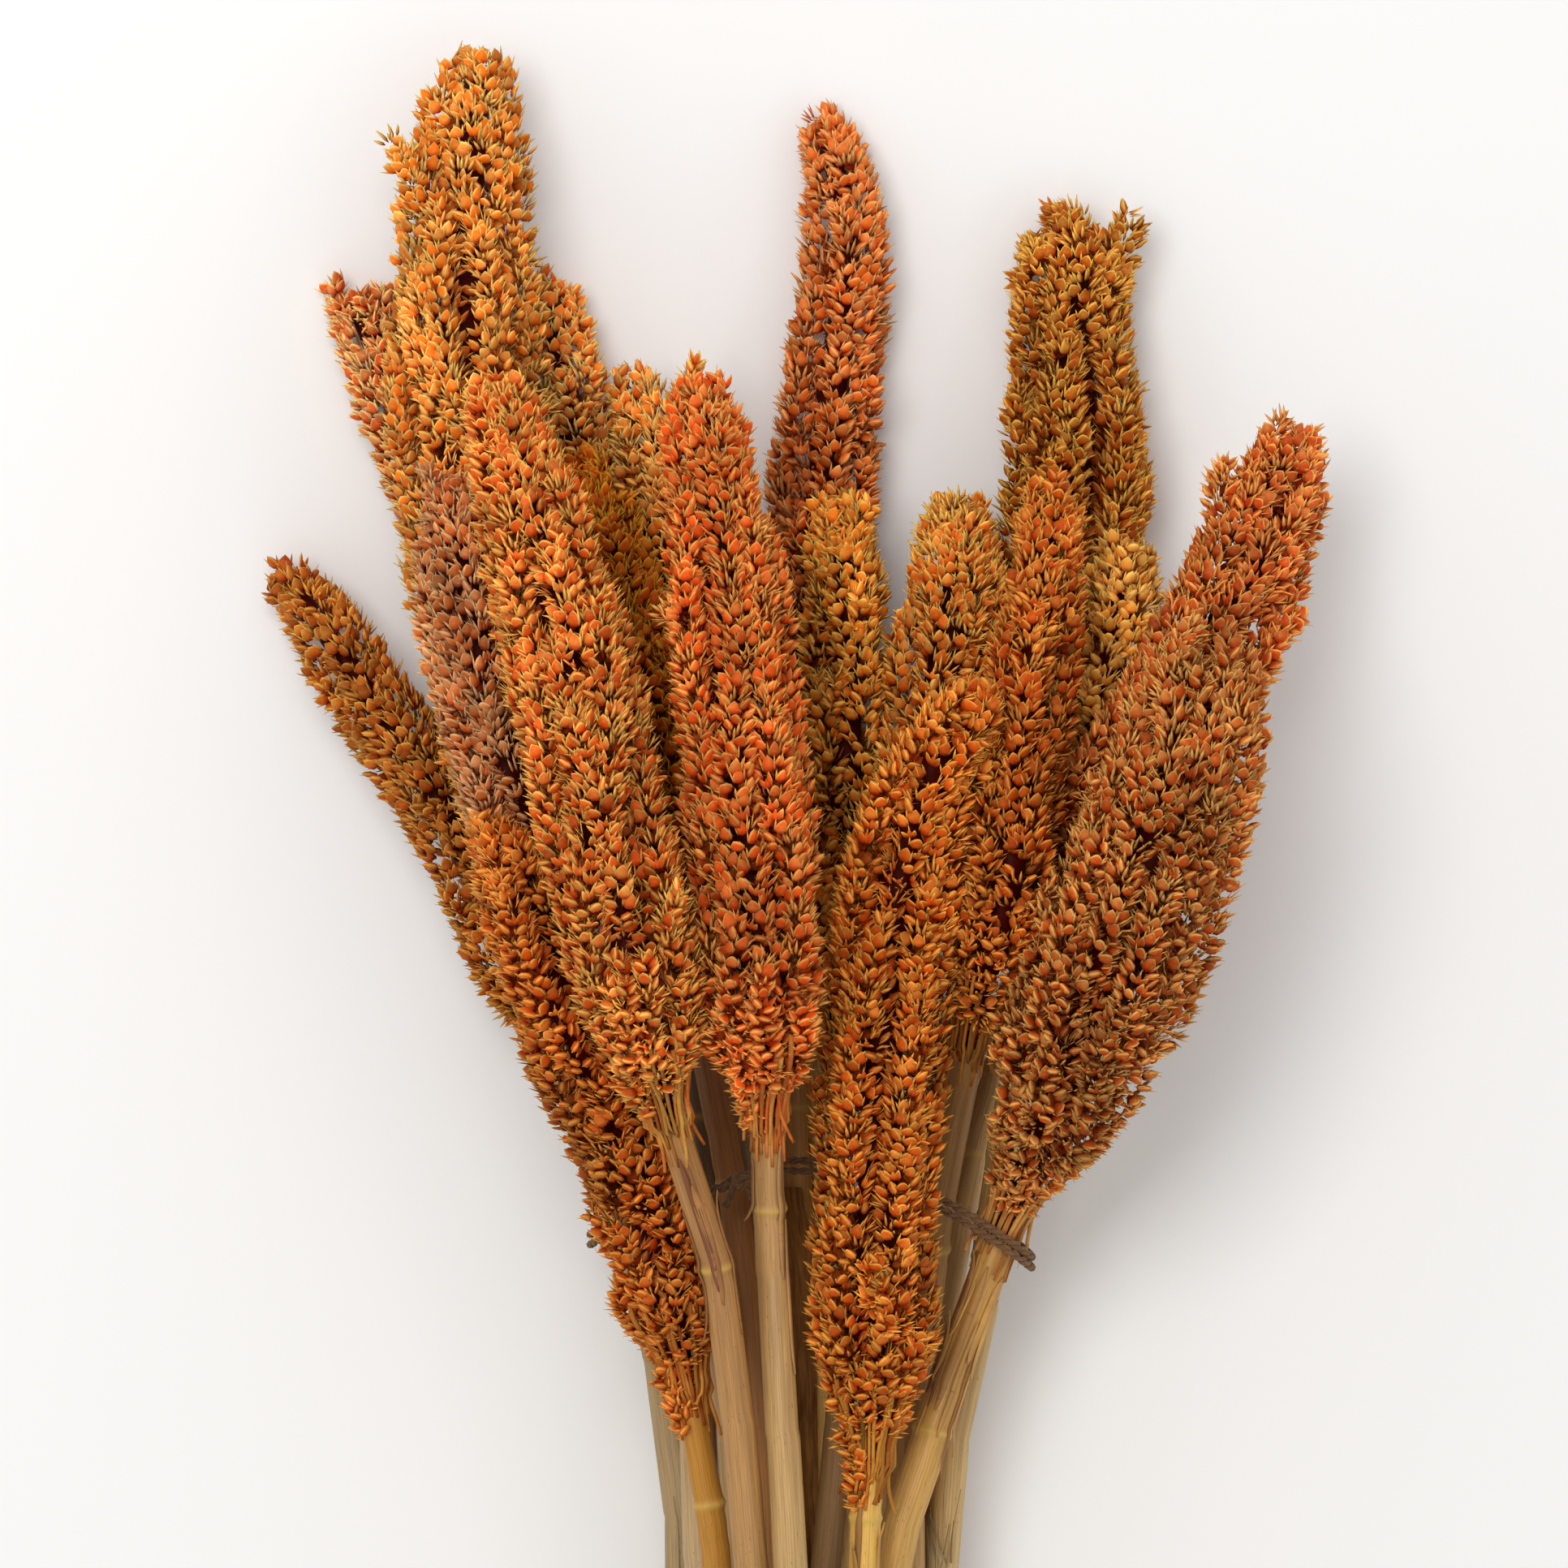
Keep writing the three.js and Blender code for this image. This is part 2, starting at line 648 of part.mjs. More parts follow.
for (const stalk of [...STALKS_UNDER_TWINE, ...STALKS_OVER_TWINE]) {
  addPiece(`stem_${stalk.name}`, stemGeometry(stalk), STRAW_COLOUR, 0.6);
  addPiece(`seed_head_${stalk.name}`, headGeometry(stalk), stalk.colour, 0.7);
  if (stalk.sheath) {
    addPiece(`leaf_sheath_${stalk.name}`, sheathGeometry(stalk), SHEATH_COLOUR, 0.75);
  }
}
const twine = tube(binding.curve, TWINE_DIAMETER / 2, bindingSteps);
addPiece('twine_binding', twine, TWINE_COLOUR, 0.9);
addPiece('twine_knot', knotGeometry(knotCentre), TWINE_COLOUR, 0.9);

// Stand the bunch on the surface, with the origin under the middle of its box.
const box = new THREE.Box3().setFromObject(bunch, true);
const middle = box.getCenter(new THREE.Vector3());
bunch.position.set(-middle.x, -middle.y, -box.min.z);

export default bunch;
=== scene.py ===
# A tied bunch of dyed, dried sorghum, lying on a pale surface and seen from above.
# Each stalk is a straw stem with one long seed head; a twine binding holds the stems.

import math

import bpy
import numpy as np
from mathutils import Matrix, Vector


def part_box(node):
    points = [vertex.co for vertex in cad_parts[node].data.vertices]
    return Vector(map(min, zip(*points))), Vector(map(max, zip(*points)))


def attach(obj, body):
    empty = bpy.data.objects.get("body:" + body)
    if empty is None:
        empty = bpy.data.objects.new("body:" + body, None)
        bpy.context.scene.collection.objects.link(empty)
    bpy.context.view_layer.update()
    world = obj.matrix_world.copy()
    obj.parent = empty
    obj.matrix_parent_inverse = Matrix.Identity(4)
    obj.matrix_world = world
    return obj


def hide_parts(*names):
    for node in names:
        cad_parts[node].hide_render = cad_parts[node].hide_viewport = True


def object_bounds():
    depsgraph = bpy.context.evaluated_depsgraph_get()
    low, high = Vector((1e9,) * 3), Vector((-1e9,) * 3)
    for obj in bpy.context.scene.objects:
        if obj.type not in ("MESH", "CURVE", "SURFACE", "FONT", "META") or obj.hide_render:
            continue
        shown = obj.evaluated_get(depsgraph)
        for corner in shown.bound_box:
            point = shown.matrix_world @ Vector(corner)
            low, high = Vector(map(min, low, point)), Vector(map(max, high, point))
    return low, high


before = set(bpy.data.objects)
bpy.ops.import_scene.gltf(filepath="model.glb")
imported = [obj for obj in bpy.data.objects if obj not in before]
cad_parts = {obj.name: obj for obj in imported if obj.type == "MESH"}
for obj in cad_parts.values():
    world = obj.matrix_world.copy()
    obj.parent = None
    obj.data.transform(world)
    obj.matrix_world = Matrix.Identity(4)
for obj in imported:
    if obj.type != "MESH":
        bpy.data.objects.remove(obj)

cad_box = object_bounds()


# ---------------------------------------------------------------------------------------------
# The view, the surface and the light.
# The bunch lies on a plain pale sheet and is looked down on, with its tips at the top edge; the
# bottom edge crosses the stems below the binding. Two large soft lamps and a pale room light it.

VIEW_WIDTH = 0.439  # what the view takes in across, at the height of the upper heads
VIEW_HEIGHT = 2.5
VIEW_SENSOR = 36.0
VIEW_REACH = 20.0
UPPER_HEADS = 0.07
CLEAR_ABOVE_TIPS = 0.010
VIEW_ASIDE = -0.0015

scene = bpy.context.scene
tips_end = cad_box[1][1]
camera_data = bpy.data.cameras.new("view_from_above")
camera_data.sensor_width = VIEW_SENSOR
camera_data.lens = VIEW_SENSOR * (VIEW_HEIGHT - UPPER_HEADS) / VIEW_WIDTH
camera_data.clip_end = VIEW_REACH
camera = bpy.data.objects.new("view_from_above", camera_data)
camera.location = (VIEW_ASIDE, tips_end + CLEAR_ABOVE_TIPS - VIEW_WIDTH / 2, VIEW_HEIGHT)
scene.collection.objects.link(camera)
scene.camera = camera
scene.view_settings.view_transform = "Standard"  # dyes keep the colours that they are given


def linear(code, alpha=1.0):
    """An sRGB hex colour as the linear numbers that a shader takes."""
    shares = [int(code[k:k + 2], 16) / 255 for k in (1, 3, 5)]
    return [c / 12.92 if c <= 0.04045 else ((c + 0.055) / 1.055) ** 2.4 for c in shares] + [alpha]


def add(tree, kind, settings=None, **inputs):
    """Adds a node: its settings by name, and its inputs by value or by the socket that feeds them."""
    made = tree.nodes.new(kind)
    for name, value in (settings or {}).items():
        setattr(made, name, value)
    for name, value in inputs.items():
        key = int(name[1:]) if name[0] == "_" else name.replace("_", " ")
        if isinstance(value, bpy.types.NodeSocket):
            tree.links.new(value, made.inputs[key])
        else:
            made.inputs[key].default_value = value
    return made


def new_material(name):
    """An empty material and its node tree, with the output in place."""
    material = bpy.data.materials.new(name)
    material.use_nodes = True
    tree = material.node_tree
    tree.nodes.clear()
    return material, tree


SHEET_SIZE = 8.0
bpy.ops.mesh.primitive_plane_add(size=SHEET_SIZE, location=(0, 0, 0))
sheet = bpy.context.object
sheet.name = "pale_sheet"
# Coated white card: plain and matt, so it only catches the soft shadow of the bunch.
card, tree = new_material("white_card")
matt = add(tree, "ShaderNodeBsdfPrincipled", Base_Color=linear("#f4f3f1"), Roughness=0.9)
add(tree, "ShaderNodeOutputMaterial", Surface=matt.outputs[0])
sheet.data.materials.append(card)

ROOM_LIGHT = 0.68
world = bpy.data.worlds.new("pale_room")
world.use_nodes = True
world.node_tree.nodes["Background"].inputs["Color"].default_value = linear("#ffffff")
world.node_tree.nodes["Background"].inputs["Strength"].default_value = ROOM_LIGHT
scene.world = world

LAMPS = (
    # name, place in metres, width of the lamp, watts
    ("soft_key", (-0.55, 0.7, 2.1), 1.2, 28.0),
    ("soft_fill", (1.2, -0.7, 1.7), 1.2, 11.0),
)
LAMPS_AIM = (0.0, 0.1, 0.05)
for name, place, width, watts in LAMPS:
    lamp_data = bpy.data.lights.new(name, "AREA")
    lamp_data.size = width
    lamp_data.energy = watts
    lamp = bpy.data.objects.new(name, lamp_data)
    lamp.location = place
    aim = np.array(LAMPS_AIM) - np.array(place)
    lamp.rotation_euler = (math.acos(-aim[2] / np.linalg.norm(aim)), 0, math.atan2(aim[0], -aim[1]))
    scene.collection.objects.link(lamp)


# ---------------------------------------------------------------------------------------------
# The straw stems.
# A sorghum culm is a round, pith-filled straw with a hard satin skin of fine long fibres and a
# raised ring at each node. It was cut square at its foot, its head grows out of its other end,
# and on some the skin has split below the head into strips.

MM = 0.001
STEM_SIDES = 28
STEM_STEP = 2.5 * MM
STEM_SOLID = 2 * math.sqrt(2)  # area of the solid's eight-sided section over its radius squared
STEM_RIB = 0.09 * MM  # height of the fine ridges along the skin
STEM_RIB_WAVES = (7, 9, 12)
STEM_OVAL = 0.05
PITH_DEPTH = 0.7 * MM
PITH_EDGE, PITH_FLOOR = 0.8, 0.76  # how far out the skin's inner edge and the pith lie
LEAST_SWELL = 0.3 * MM  # a node is where the solid swells at least this much
RING_RISE = 0.5 * MM
RING_WIDTH = 1.1 * MM
RING_STATIONS = np.arange(-3, 3.1, 0.5) * MM
SAME_SPOT = 0.002 * MM  # corners this close are one and the same
LEAST_SECTION = 1e-9  # square metres: smaller loops are slips of the knife
FOLLOW_MARGIN = 5 * MM  # a node is first cut this far inside its two ends
FOLLOW_STEP = 8 * MM  # and this far apart between them
FOLLOW_INSET = 2 * MM  # and then square to its own line, this far inside that line's ends
FULL_TURN = 6.28  # near enough where an angle is drawn at random


def unit(vectors):
    return vectors / np.maximum(np.linalg.norm(vectors, axis=-1, keepdims=True), 1e-12)


def lengths(points):
    """How far along a row of points each of them lies."""
    return np.concatenate([[0.0], np.cumsum(np.linalg.norm(np.diff(points, axis=0), axis=1))])


def read_at(at, s, rows):
    """Reads a line's rows of three numbers, known at the lengths s, at the lengths in at."""
    return np.stack([np.interp(at, s, rows[:, k]) for k in range(3)], axis=-1)


def outward(angle, sideways, upward):
    """The way out from a line at an angle round it."""
    return np.cos(angle)[..., None] * sideways + np.sin(angle)[..., None] * upward


def triangles_of(node):
    """The corners of a CAD node's triangles, as an array of (triangle, corner, xyz)."""
    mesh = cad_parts[node].data
    mesh.calc_loop_triangles()
    co = np.empty(len(mesh.vertices) * 3)
    mesh.vertices.foreach_get("co", co)
    index = np.empty(len(mesh.loop_triangles) * 3, dtype=int)
    mesh.loop_triangles.foreach_get("vertices", index)
    return co.reshape(-1, 3)[index].reshape(-1, 3, 3)


def cut(triangles, point, normal):
    """The loops in which a plane cuts a solid, largest first: (centre, area) for each."""
    side = (triangles - point) @ normal
    links = {}
    for first, second in ((0, 1), (1, 2), (2, 0)):
        crossed = (side[:, first] > 0) != (side[:, second] > 0)
        share = side[crossed, first] / (side[crossed, first] - side[crossed, second])
        spots = triangles[crossed, first]
        spots = spots + share[:, None] * (triangles[crossed, second] - spots)
        for row, spot in zip(np.nonzero(crossed)[0], spots):
            links.setdefault(row, []).append(spot)
    ends = {}
    for pair in links.values():
        keys = [tuple(np.round(spot / SAME_SPOT).astype(int)) for spot in pair]
        ends.setdefault(keys[0], []).append((keys[1], pair[1]))
        ends.setdefault(keys[1], []).append((keys[0], pair[0]))
    loops = []
    unseen = set(ends)
    while unseen:
        key = min(unseen)
        loop = []
        while key in unseen:
            unseen.discard(key)
            onward = [step for step in ends[key] if step[0] in unseen] or ends[key]
            key, spot = onward[0]
            loop.append(spot)
        loop = np.array(loop)
        if len(loop) < 3:
            continue
        middle = loop.mean(axis=0)
        spokes = loop - middle
        wedges = 0.5 * np.cross(spokes, np.roll(spokes, -1, axis=0)) @ normal
        area = wedges.sum()
        if abs(area) < LEAST_SECTION:
            continue
        thirds = (spokes + np.roll(spokes, -1, axis=0)) / 3
        loops.append((middle + (wedges[:, None] * thirds).sum(axis=0) / area, abs(area)))
    return sorted(loops, key=lambda loop: -loop[1])


class Spine:
    """The middle line of a stalk or a lobe, with its radius, followed by length."""

    def __init__(self, points, radius):
        self.points = np.array(points)
        self.s = lengths(self.points)
        self.length = self.s[-1]
        self.radius = np.array(radius)
        self.tangent = unit(np.gradient(self.points, self.s, axis=0))

    def at(self, s):
        """Place, tangent, sideways and upward vectors, and radius at the lengths s."""
        s = np.asarray(s, dtype=float)
        held = np.clip(s, 0, self.length)
        tangent = unit(read_at(held, self.s, self.tangent))
        place = read_at(held, self.s, self.points) + (s - held)[..., None] * tangent
        sideways = unit(np.cross(tangent, [0.0, 0.0, 1.0]))
        upward = np.cross(sideways, tangent)
        return place, tangent, sideways, upward, np.interp(held, self.s, self.radius)


def smoothed(values, passes):
    """Evens out a row of numbers or of points, and leaves its two ends where they are."""
    values = np.array(values, dtype=float)
    for _ in range(passes):
        values[1:-1] = 0.5 * values[1:-1] + 0.25 * (values[:-2] + values[2:])
    return values


def spine_of(node, step, section):
    """Follows a CAD node that runs along +Y: its spine, and any further loops beside it.

    section is the area of the solid's section over its radius squared.
    """
    triangles = triangles_of(node)
    corners = triangles.reshape(-1, 3)
    start, end = corners[:, 1].min(), corners[:, 1].max()
    rough = []
    for y in np.linspace(start + FOLLOW_MARGIN, end - FOLLOW_MARGIN, int((end - start) / FOLLOW_STEP)):
        loops = cut(triangles, np.array([0, y, 0]), np.array([0, 1.0, 0]))
        if rough:
            loops.sort(key=lambda loop: np.linalg.norm(loop[0] - rough[-1]))
        rough.append(loops[0][0])
    rough = smoothed(rough, 2)
    first, last = unit(rough[0] - rough[1]), unit(rough[-1] - rough[-2])
    near = corners[corners[:, 1] < start + 3 * FOLLOW_MARGIN]
    rough[0] = rough[0] + first * ((near - rough[0]) @ first).max()
    near = corners[corners[:, 1] > end - FOLLOW_MARGIN]
    rough[-1] = rough[-1] + last * ((near - rough[-1]) @ last).max()
    line = Spine(rough, np.zeros(len(rough)))
    count = int(line.length / step)
    points, radius, beside = [], [], []
    for s in np.linspace(FOLLOW_INSET, line.length - FOLLOW_INSET, count):
        place, tangent = line.at(s)[:2]
        loops = cut(triangles, place, tangent)
        loops.sort(key=lambda loop: np.linalg.norm(loop[0] - place))
        points.append(loops[0][0])
        radius.append(math.sqrt(loops[0][1] / section))
        beside += [(len(points) - 1, centre, area) for centre, area in loops[1:]]
    middle = Spine(points, radius)
    ends = [middle.at(s)[0] for s in (-FOLLOW_INSET, middle.length + FOLLOW_INSET)]
    points = [ends[0], *points, ends[1]]
    return Spine(points, [radius[0], *radius, radius[-1]]), beside


class Shape:
    """Collects the parts of one piece, and makes its mesh with its marks and its map."""

    def __init__(self, *marks):
        self.points, self.corners, self.sides, self.places = [], [], [], []
        self.marks = {mark: [] for mark in marks}
        self.count = 0

    def add(self, points, corners, sides, places, **marks):
        """points, faces as corner numbers and corner counts, and a map place for each corner."""
        self.points.append(points)
        self.corners.append(np.asarray(corners) + self.count)
        self.sides.append(sides)
        self.places.append(places)
        self.count += len(points)
        for mark, values in self.marks.items():
            values.append(np.broadcast_to(marks.get(mark, 0.0), len(points)))

    def make(self, name, material):
        """The piece itself: one mesh of all that was added."""
        points = np.concatenate(self.points)
        corners = np.concatenate(self.corners)
        sides = np.concatenate(self.sides)
        mesh = bpy.data.meshes.new(name)
        mesh.vertices.add(len(points))
        mesh.vertices.foreach_set("co", points.ravel())
        mesh.loops.add(len(corners))
        mesh.loops.foreach_set("vertex_index", corners)
        mesh.polygons.add(len(sides))
        mesh.polygons.foreach_set("loop_start", np.concatenate([[0], np.cumsum(sides)[:-1]]))
        mesh.polygons.foreach_set("use_smooth", np.ones(len(sides), dtype=bool))
        mesh.update(calc_edges=True)
        layer = mesh.uv_layers.new(name="OFBake")
        layer.data.foreach_set("uv", np.concatenate(self.places).ravel())
        for mark, values in self.marks.items():
            field = mesh.attributes.new(mark, "FLOAT", "POINT")
            field.data.foreach_set("value", np.concatenate(values))
        mesh.materials.append(material)
        piece = bpy.data.objects.new(name, mesh)
        scene.collection.objects.link(piece)
        return piece


def grid_faces(rings, around, closed, turned=False):
    """Quads of a grid of rings, with a map place for each corner; turned, they face the other way."""
    ring, turn = np.meshgrid(np.arange(rings - 1), np.arange(around if closed else around - 1),
                             indexing="ij")
    ring, turn = ring.ravel(), turn.ravel()
    corner = [(ring, turn), (ring, turn + 1), (ring + 1, turn + 1), (ring + 1, turn)]
    index = np.stack([r * around + t % around for r, t in corner], axis=1)
    spans = around if closed else around - 1
    place = np.stack([np.stack([t / spans, r / (rings - 1)], axis=1) for r, t in corner], axis=1)
    if turned:
        index, place = index[:, ::-1], place[:, ::-1]
    return index.ravel(), np.full(len(ring), 4), place.reshape(-1, 2)


def cap_fan(around, first, middle, far_end):
    """Triangles from a ring to its middle point; far_end tells which end of a tube it closes."""
    turn = np.arange(around)
    after = (turn + 1) % around
    fan = (first + turn, first + after) if far_end else (first + after, first + turn)
    index = np.stack([fan[0], fan[1], np.full(around, middle)], axis=1)
    angle = 2 * np.pi * turn / around
    rim = np.stack([0.5 + 0.5 * np.cos(angle), 0.5 + 0.5 * np.sin(angle)], axis=1)
    place = np.stack([rim, rim[after], np.full((around, 2), 0.5)], axis=1)
    return index.ravel(), np.full(around, 3), place.reshape(-1, 2)


def strip(middle, half_width, facing, thick):
    """A closed thin strip: a middle line, its half width at each point and the way it faces."""
    tangent = unit(np.gradient(middle, axis=0))
    across = unit(np.cross(tangent, facing))
    normal = np.cross(across, tangent)
    corner = [(-1, -0.5), (0, -0.25), (1, -0.5), (1, 0.5), (0, 0.75), (-1, 0.5)]
    rings = np.stack([middle + u * half_width[:, None] * across + v * thick * normal
                      for u, v in corner], axis=1)
    index, sides, place = grid_faces(len(middle), 6, True)
    index = index.reshape(-1, 4)[:, ::-1].ravel()
    first = np.arange(6)
    last = (np.arange(6) + (len(middle) - 1) * 6)[::-1]
    spots = np.tile([0.5, 0.5], (12, 1)) + np.tile(np.array(corner) * 0.05, (2, 1))
    return (rings.reshape(-1, 3), np.concatenate([index, first, last]),
            np.concatenate([sides, [6, 6]]), np.concatenate([place, spots]))


def marks_of(tree, *names):
    """Reads the marks that a piece's mesh carries at each of its points, for its material."""
    return [add(tree, "ShaderNodeAttribute", {"attribute_name": name}).outputs["Fac"]
            for name in names]


def culm(name, upper, lower, ring):
    """Dried grass culm: a hard silica skin with a satin shine, streaked along its fibres.

    Dye has run down from the head, so the upper end has a deeper colour than the rest. Where
    the skin was torn it is dark.
    """
    material, tree = new_material(name)
    around, along, near_head, at_ring, torn = marks_of(
        tree, "around", "along", "near_head", "at_ring", "torn")
    angle = add(tree, "ShaderNodeMath", {"operation": "MULTIPLY"}, _0=around, _1=2 * math.pi)
    across = add(tree, "ShaderNodeMath", {"operation": "COSINE"}, _0=angle.outputs[0])
    depth = add(tree, "ShaderNodeMath", {"operation": "SINE"}, _0=angle.outputs[0])
    skin = add(tree, "ShaderNodeCombineXYZ", X=across.outputs[0], Y=depth.outputs[0], Z=along)
    # Fibre bundles lie about 0.5 mm apart and run 40 mm or more before they fade.
    fibres = add(tree, "ShaderNodeMapping", Vector=skin.outputs[0], Scale=(6.0, 6.0, 25.0))
    streak = add(tree, "ShaderNodeTexNoise", Vector=fibres.outputs[0], Scale=2.2, Detail=4.0,
                 Roughness=0.6)
    broad = add(tree, "ShaderNodeMapping", Vector=skin.outputs[0], Scale=(1.2, 1.2, 9.0))
    stain = add(tree, "ShaderNodeTexNoise", Vector=broad.outputs[0], Scale=1.6, Detail=3.0)
    dye = add(tree, "ShaderNodeMapRange", Value=near_head, From_Min=0.35, From_Max=1.0)
    uneven = add(tree, "ShaderNodeMath", {"operation": "MULTIPLY_ADD"},
                 _0=stain.outputs["Fac"], _1=0.7, _2=-0.35)
    reach = add(tree, "ShaderNodeMath", {"operation": "ADD", "use_clamp": True},
                _0=dye.outputs[0], _1=uneven.outputs[0])
    base = add(tree, "ShaderNodeMix", {"data_type": "RGBA"}, _0=reach.outputs[0],
               _6=linear(lower), _7=linear(upper))
    tone = add(tree, "ShaderNodeMapRange", Value=streak.outputs["Fac"], From_Min=0.3, From_Max=0.7,
               To_Min=0.62, To_Max=1.18)
    grained = add(tree, "ShaderNodeMix", {"data_type": "RGBA", "blend_type": "MULTIPLY"}, _0=1.0,
                  _6=base.outputs[2], _7=tone.outputs[0])
    # Brown weather marks, a few centimetres long, and flecks of 1 to 2 mm where it was rubbed.
    weather = add(tree, "ShaderNodeMapRange", Value=stain.outputs["Fac"], From_Min=0.52, From_Max=0.72,
                  To_Max=0.45)
    weathered = add(tree, "ShaderNodeMix", {"data_type": "RGBA"}, _0=weather.outputs[0],
                    _6=grained.outputs[2], _7=linear("#7c5c36"))
    flecks = add(tree, "ShaderNodeMapping", Vector=skin.outputs[0], Scale=(5.0, 5.0, 400.0))
    rubbed = add(tree, "ShaderNodeTexNoise", Vector=flecks.outputs[0], Scale=1.3, Detail=2.0)
    fleck = add(tree, "ShaderNodeMapRange", Value=rubbed.outputs["Fac"], From_Min=0.66, From_Max=0.74,
                To_Max=0.5)
    flecked = add(tree, "ShaderNodeMix", {"data_type": "RGBA"}, _0=fleck.outputs[0],
                  _6=weathered.outputs[2], _7=linear("#6b4420"))
    ringed = add(tree, "ShaderNodeMix", {"data_type": "RGBA"}, _0=at_ring,
                 _6=flecked.outputs[2], _7=linear(ring))
    frayed = add(tree, "ShaderNodeMix", {"data_type": "RGBA"}, _0=torn,
                 _6=ringed.outputs[2], _7=linear("#6b3410"))
    shine = add(tree, "ShaderNodeMapRange", Value=streak.outputs["Fac"], To_Min=0.42, To_Max=0.62)
    relief = add(tree, "ShaderNodeBump", Height=streak.outputs["Fac"], Strength=0.35,
                 Distance=0.15 * MM)
    skin_shader = add(tree, "ShaderNodeBsdfPrincipled", Base_Color=frayed.outputs[2],
                      Roughness=shine.outputs[0], IOR=1.5, Normal=relief.outputs[0])
    add(tree, "ShaderNodeOutputMaterial", Surface=skin_shader.outputs[0])
    return material


# Upper and lower colour of each skin, where it isn't plain straw: dye, age and weather differ.
PLAIN_STRAW = ("#c79a5c", "#c9a56c")
STEM_COLOURS = {
    "a": ("#a68857", "#aa8d61"), "b": ("#b98a52", "#c0a678"), "d": ("#7d5a33", "#a1855c"),
    "e": ("#b47c3e", "#b48c54"), "g": ("#b97b18", "#b88628"), "h": ("#c39256", "#bb9d62"),
    "i": ("#8a6236", "#ad8f62"), "j": ("#a56221", "#b6823e"), "k": ("#c98a35", "#c49250"),
    # Painted light: stem l is coloured brighter than its straw, to make up for the shade of the heads
    # over it.
    "l": ("#f7bd58", "#f7d28a"), "n": ("#94652f", "#9d7a4c"), "o": ("#a87637", "#be9454"),
    "q": ("#c69c5a", "#cba96e"), "r": ("#cb9544", "#cea458"), "s": ("#e4b04e", "#e5b859"),
}
RING_COLOUR = "#c9a348"
RING_TINT = 0.7
# Stems whose skin has split under the head, and how many strips of it have come away.
TORN_STEMS = {"e": 6, "r": 12, "h": 3, "s": 3}
TORN_POINTS = 20
TORN_THICK = 0.3 * MM


def skin_stations(spine):
    """Where the rings of points lie along a stem, its plain radius, and how near a node each is."""
    taper = np.poly1d(np.polyfit(spine.s, spine.radius, 1))
    swell = spine.radius - taper(spine.s)
    peaks = [k for k in range(4, len(swell) - 4)
             if swell[k] > LEAST_SWELL and swell[k] == swell[k - 4:k + 5].max()]
    extra = [spine.s[k] + step for k in peaks for step in RING_STATIONS]
    stations = np.unique(np.round(np.append(spine.s, extra), 5))
    at_ring = sum((np.exp(-((stations - spine.s[k]) / RING_WIDTH) ** 2) for k in peaks),
                  np.zeros(len(stations)))
    return stations, taper(stations), at_ring


def stem_skin(spine, rng):
    """The skin: a ribbed, slightly oval tube with an uneven raised ring at each node."""
    stations, plain, at_ring = skin_stations(spine)
    angle = np.arange(STEM_SIDES) * 2 * math.pi / STEM_SIDES
    ribs = sum(rng.uniform(0.4, 1) * np.cos(k * angle + rng.uniform(0, FULL_TURN))
               for k in STEM_RIB_WAVES)
    wander = np.cos(angle[None, :] * 2 + 6 * stations[:, None] + rng.uniform(0, FULL_TURN))
    radius = plain[:, None] * (1 + STEM_OVAL * 0.5 * (wander - 1))
    ragged = 1 + 0.35 * np.sin(angle * 3 + rng.uniform(0, FULL_TURN)) * np.sin(angle * 5)
    radius = radius + STEM_RIB * ribs[None, :] + RING_RISE * at_ring[:, None] * ragged[None, :]
    place, _, sideways, upward, _ = spine.at(stations)
    out = outward(angle[None], sideways[:, None], upward[:, None])
    return stations, at_ring, place, place[:, None] + radius[..., None] * out


def add_cut_end(shape, rim, middle, tangent, sign, turns, along):
    """A cut end: a rim of skin round sunken pith. sign is 1 at the head's end, and -1 at the foot."""
    inner = middle + PITH_EDGE * (rim - middle)
    sunk = middle + PITH_FLOOR * (rim - middle) - sign * PITH_DEPTH * tangent
    centre = middle - sign * PITH_DEPTH * tangent
    points = np.concatenate([rim, inner, sunk, centre[None]])
    index, sides, uv = grid_faces(3, STEM_SIDES, True, turned=sign < 0)
    fan, fan_sides, fan_uv = cap_fan(STEM_SIDES, 2 * STEM_SIDES, 3 * STEM_SIDES, sign > 0)
    corner = np.array([0.02 + 0.3 * (sign > 0), 0.92])
    shape.add(points, np.concatenate([index, fan]), np.concatenate([sides, fan_sides]),
              np.concatenate([uv, fan_uv]) * [0.25, 0.06] + corner,
              around=np.append(np.tile(turns, 3), 0.0), along=along, near_head=0.2)


def add_torn_strip(shape, spine, number, rng):
    """A strip of skin that has come away below the head, and lifts at one of its ends."""
    top = spine.length - rng.uniform(0, 34) * MM
    s_all = np.linspace(top - rng.uniform(16, 48) * MM, top, TORN_POINTS)
    along = np.linspace(-1, 1, TORN_POINTS)
    place, _, sideways, upward, radius = spine.at(s_all)
    turn = math.pi / 2 + rng.uniform(-1.3, 1.3) + along * rng.uniform(-0.15, 0.15)
    lift = 0.2 * MM + np.clip(along * rng.choice([-1, 1]), 0, 1) ** 4 * rng.uniform(0.2, 3) * MM
    out = outward(turn, sideways, upward)
    half_width = rng.uniform(0.4, 1.2) * MM * (1 - 0.8 * along ** 4)
    sliver = strip(place + (radius + lift)[:, None] * out, half_width, out, TORN_THICK)
    corner = np.array([0.7 + 0.02 * number, 0.92])
    shape.add(*sliver[:3], sliver[3] * [0.015, 0.06] + corner, around=rng.uniform(0, 1),
              along=np.repeat(s_all, 6), near_head=1.0, torn=rng.uniform(0.0, 0.85))


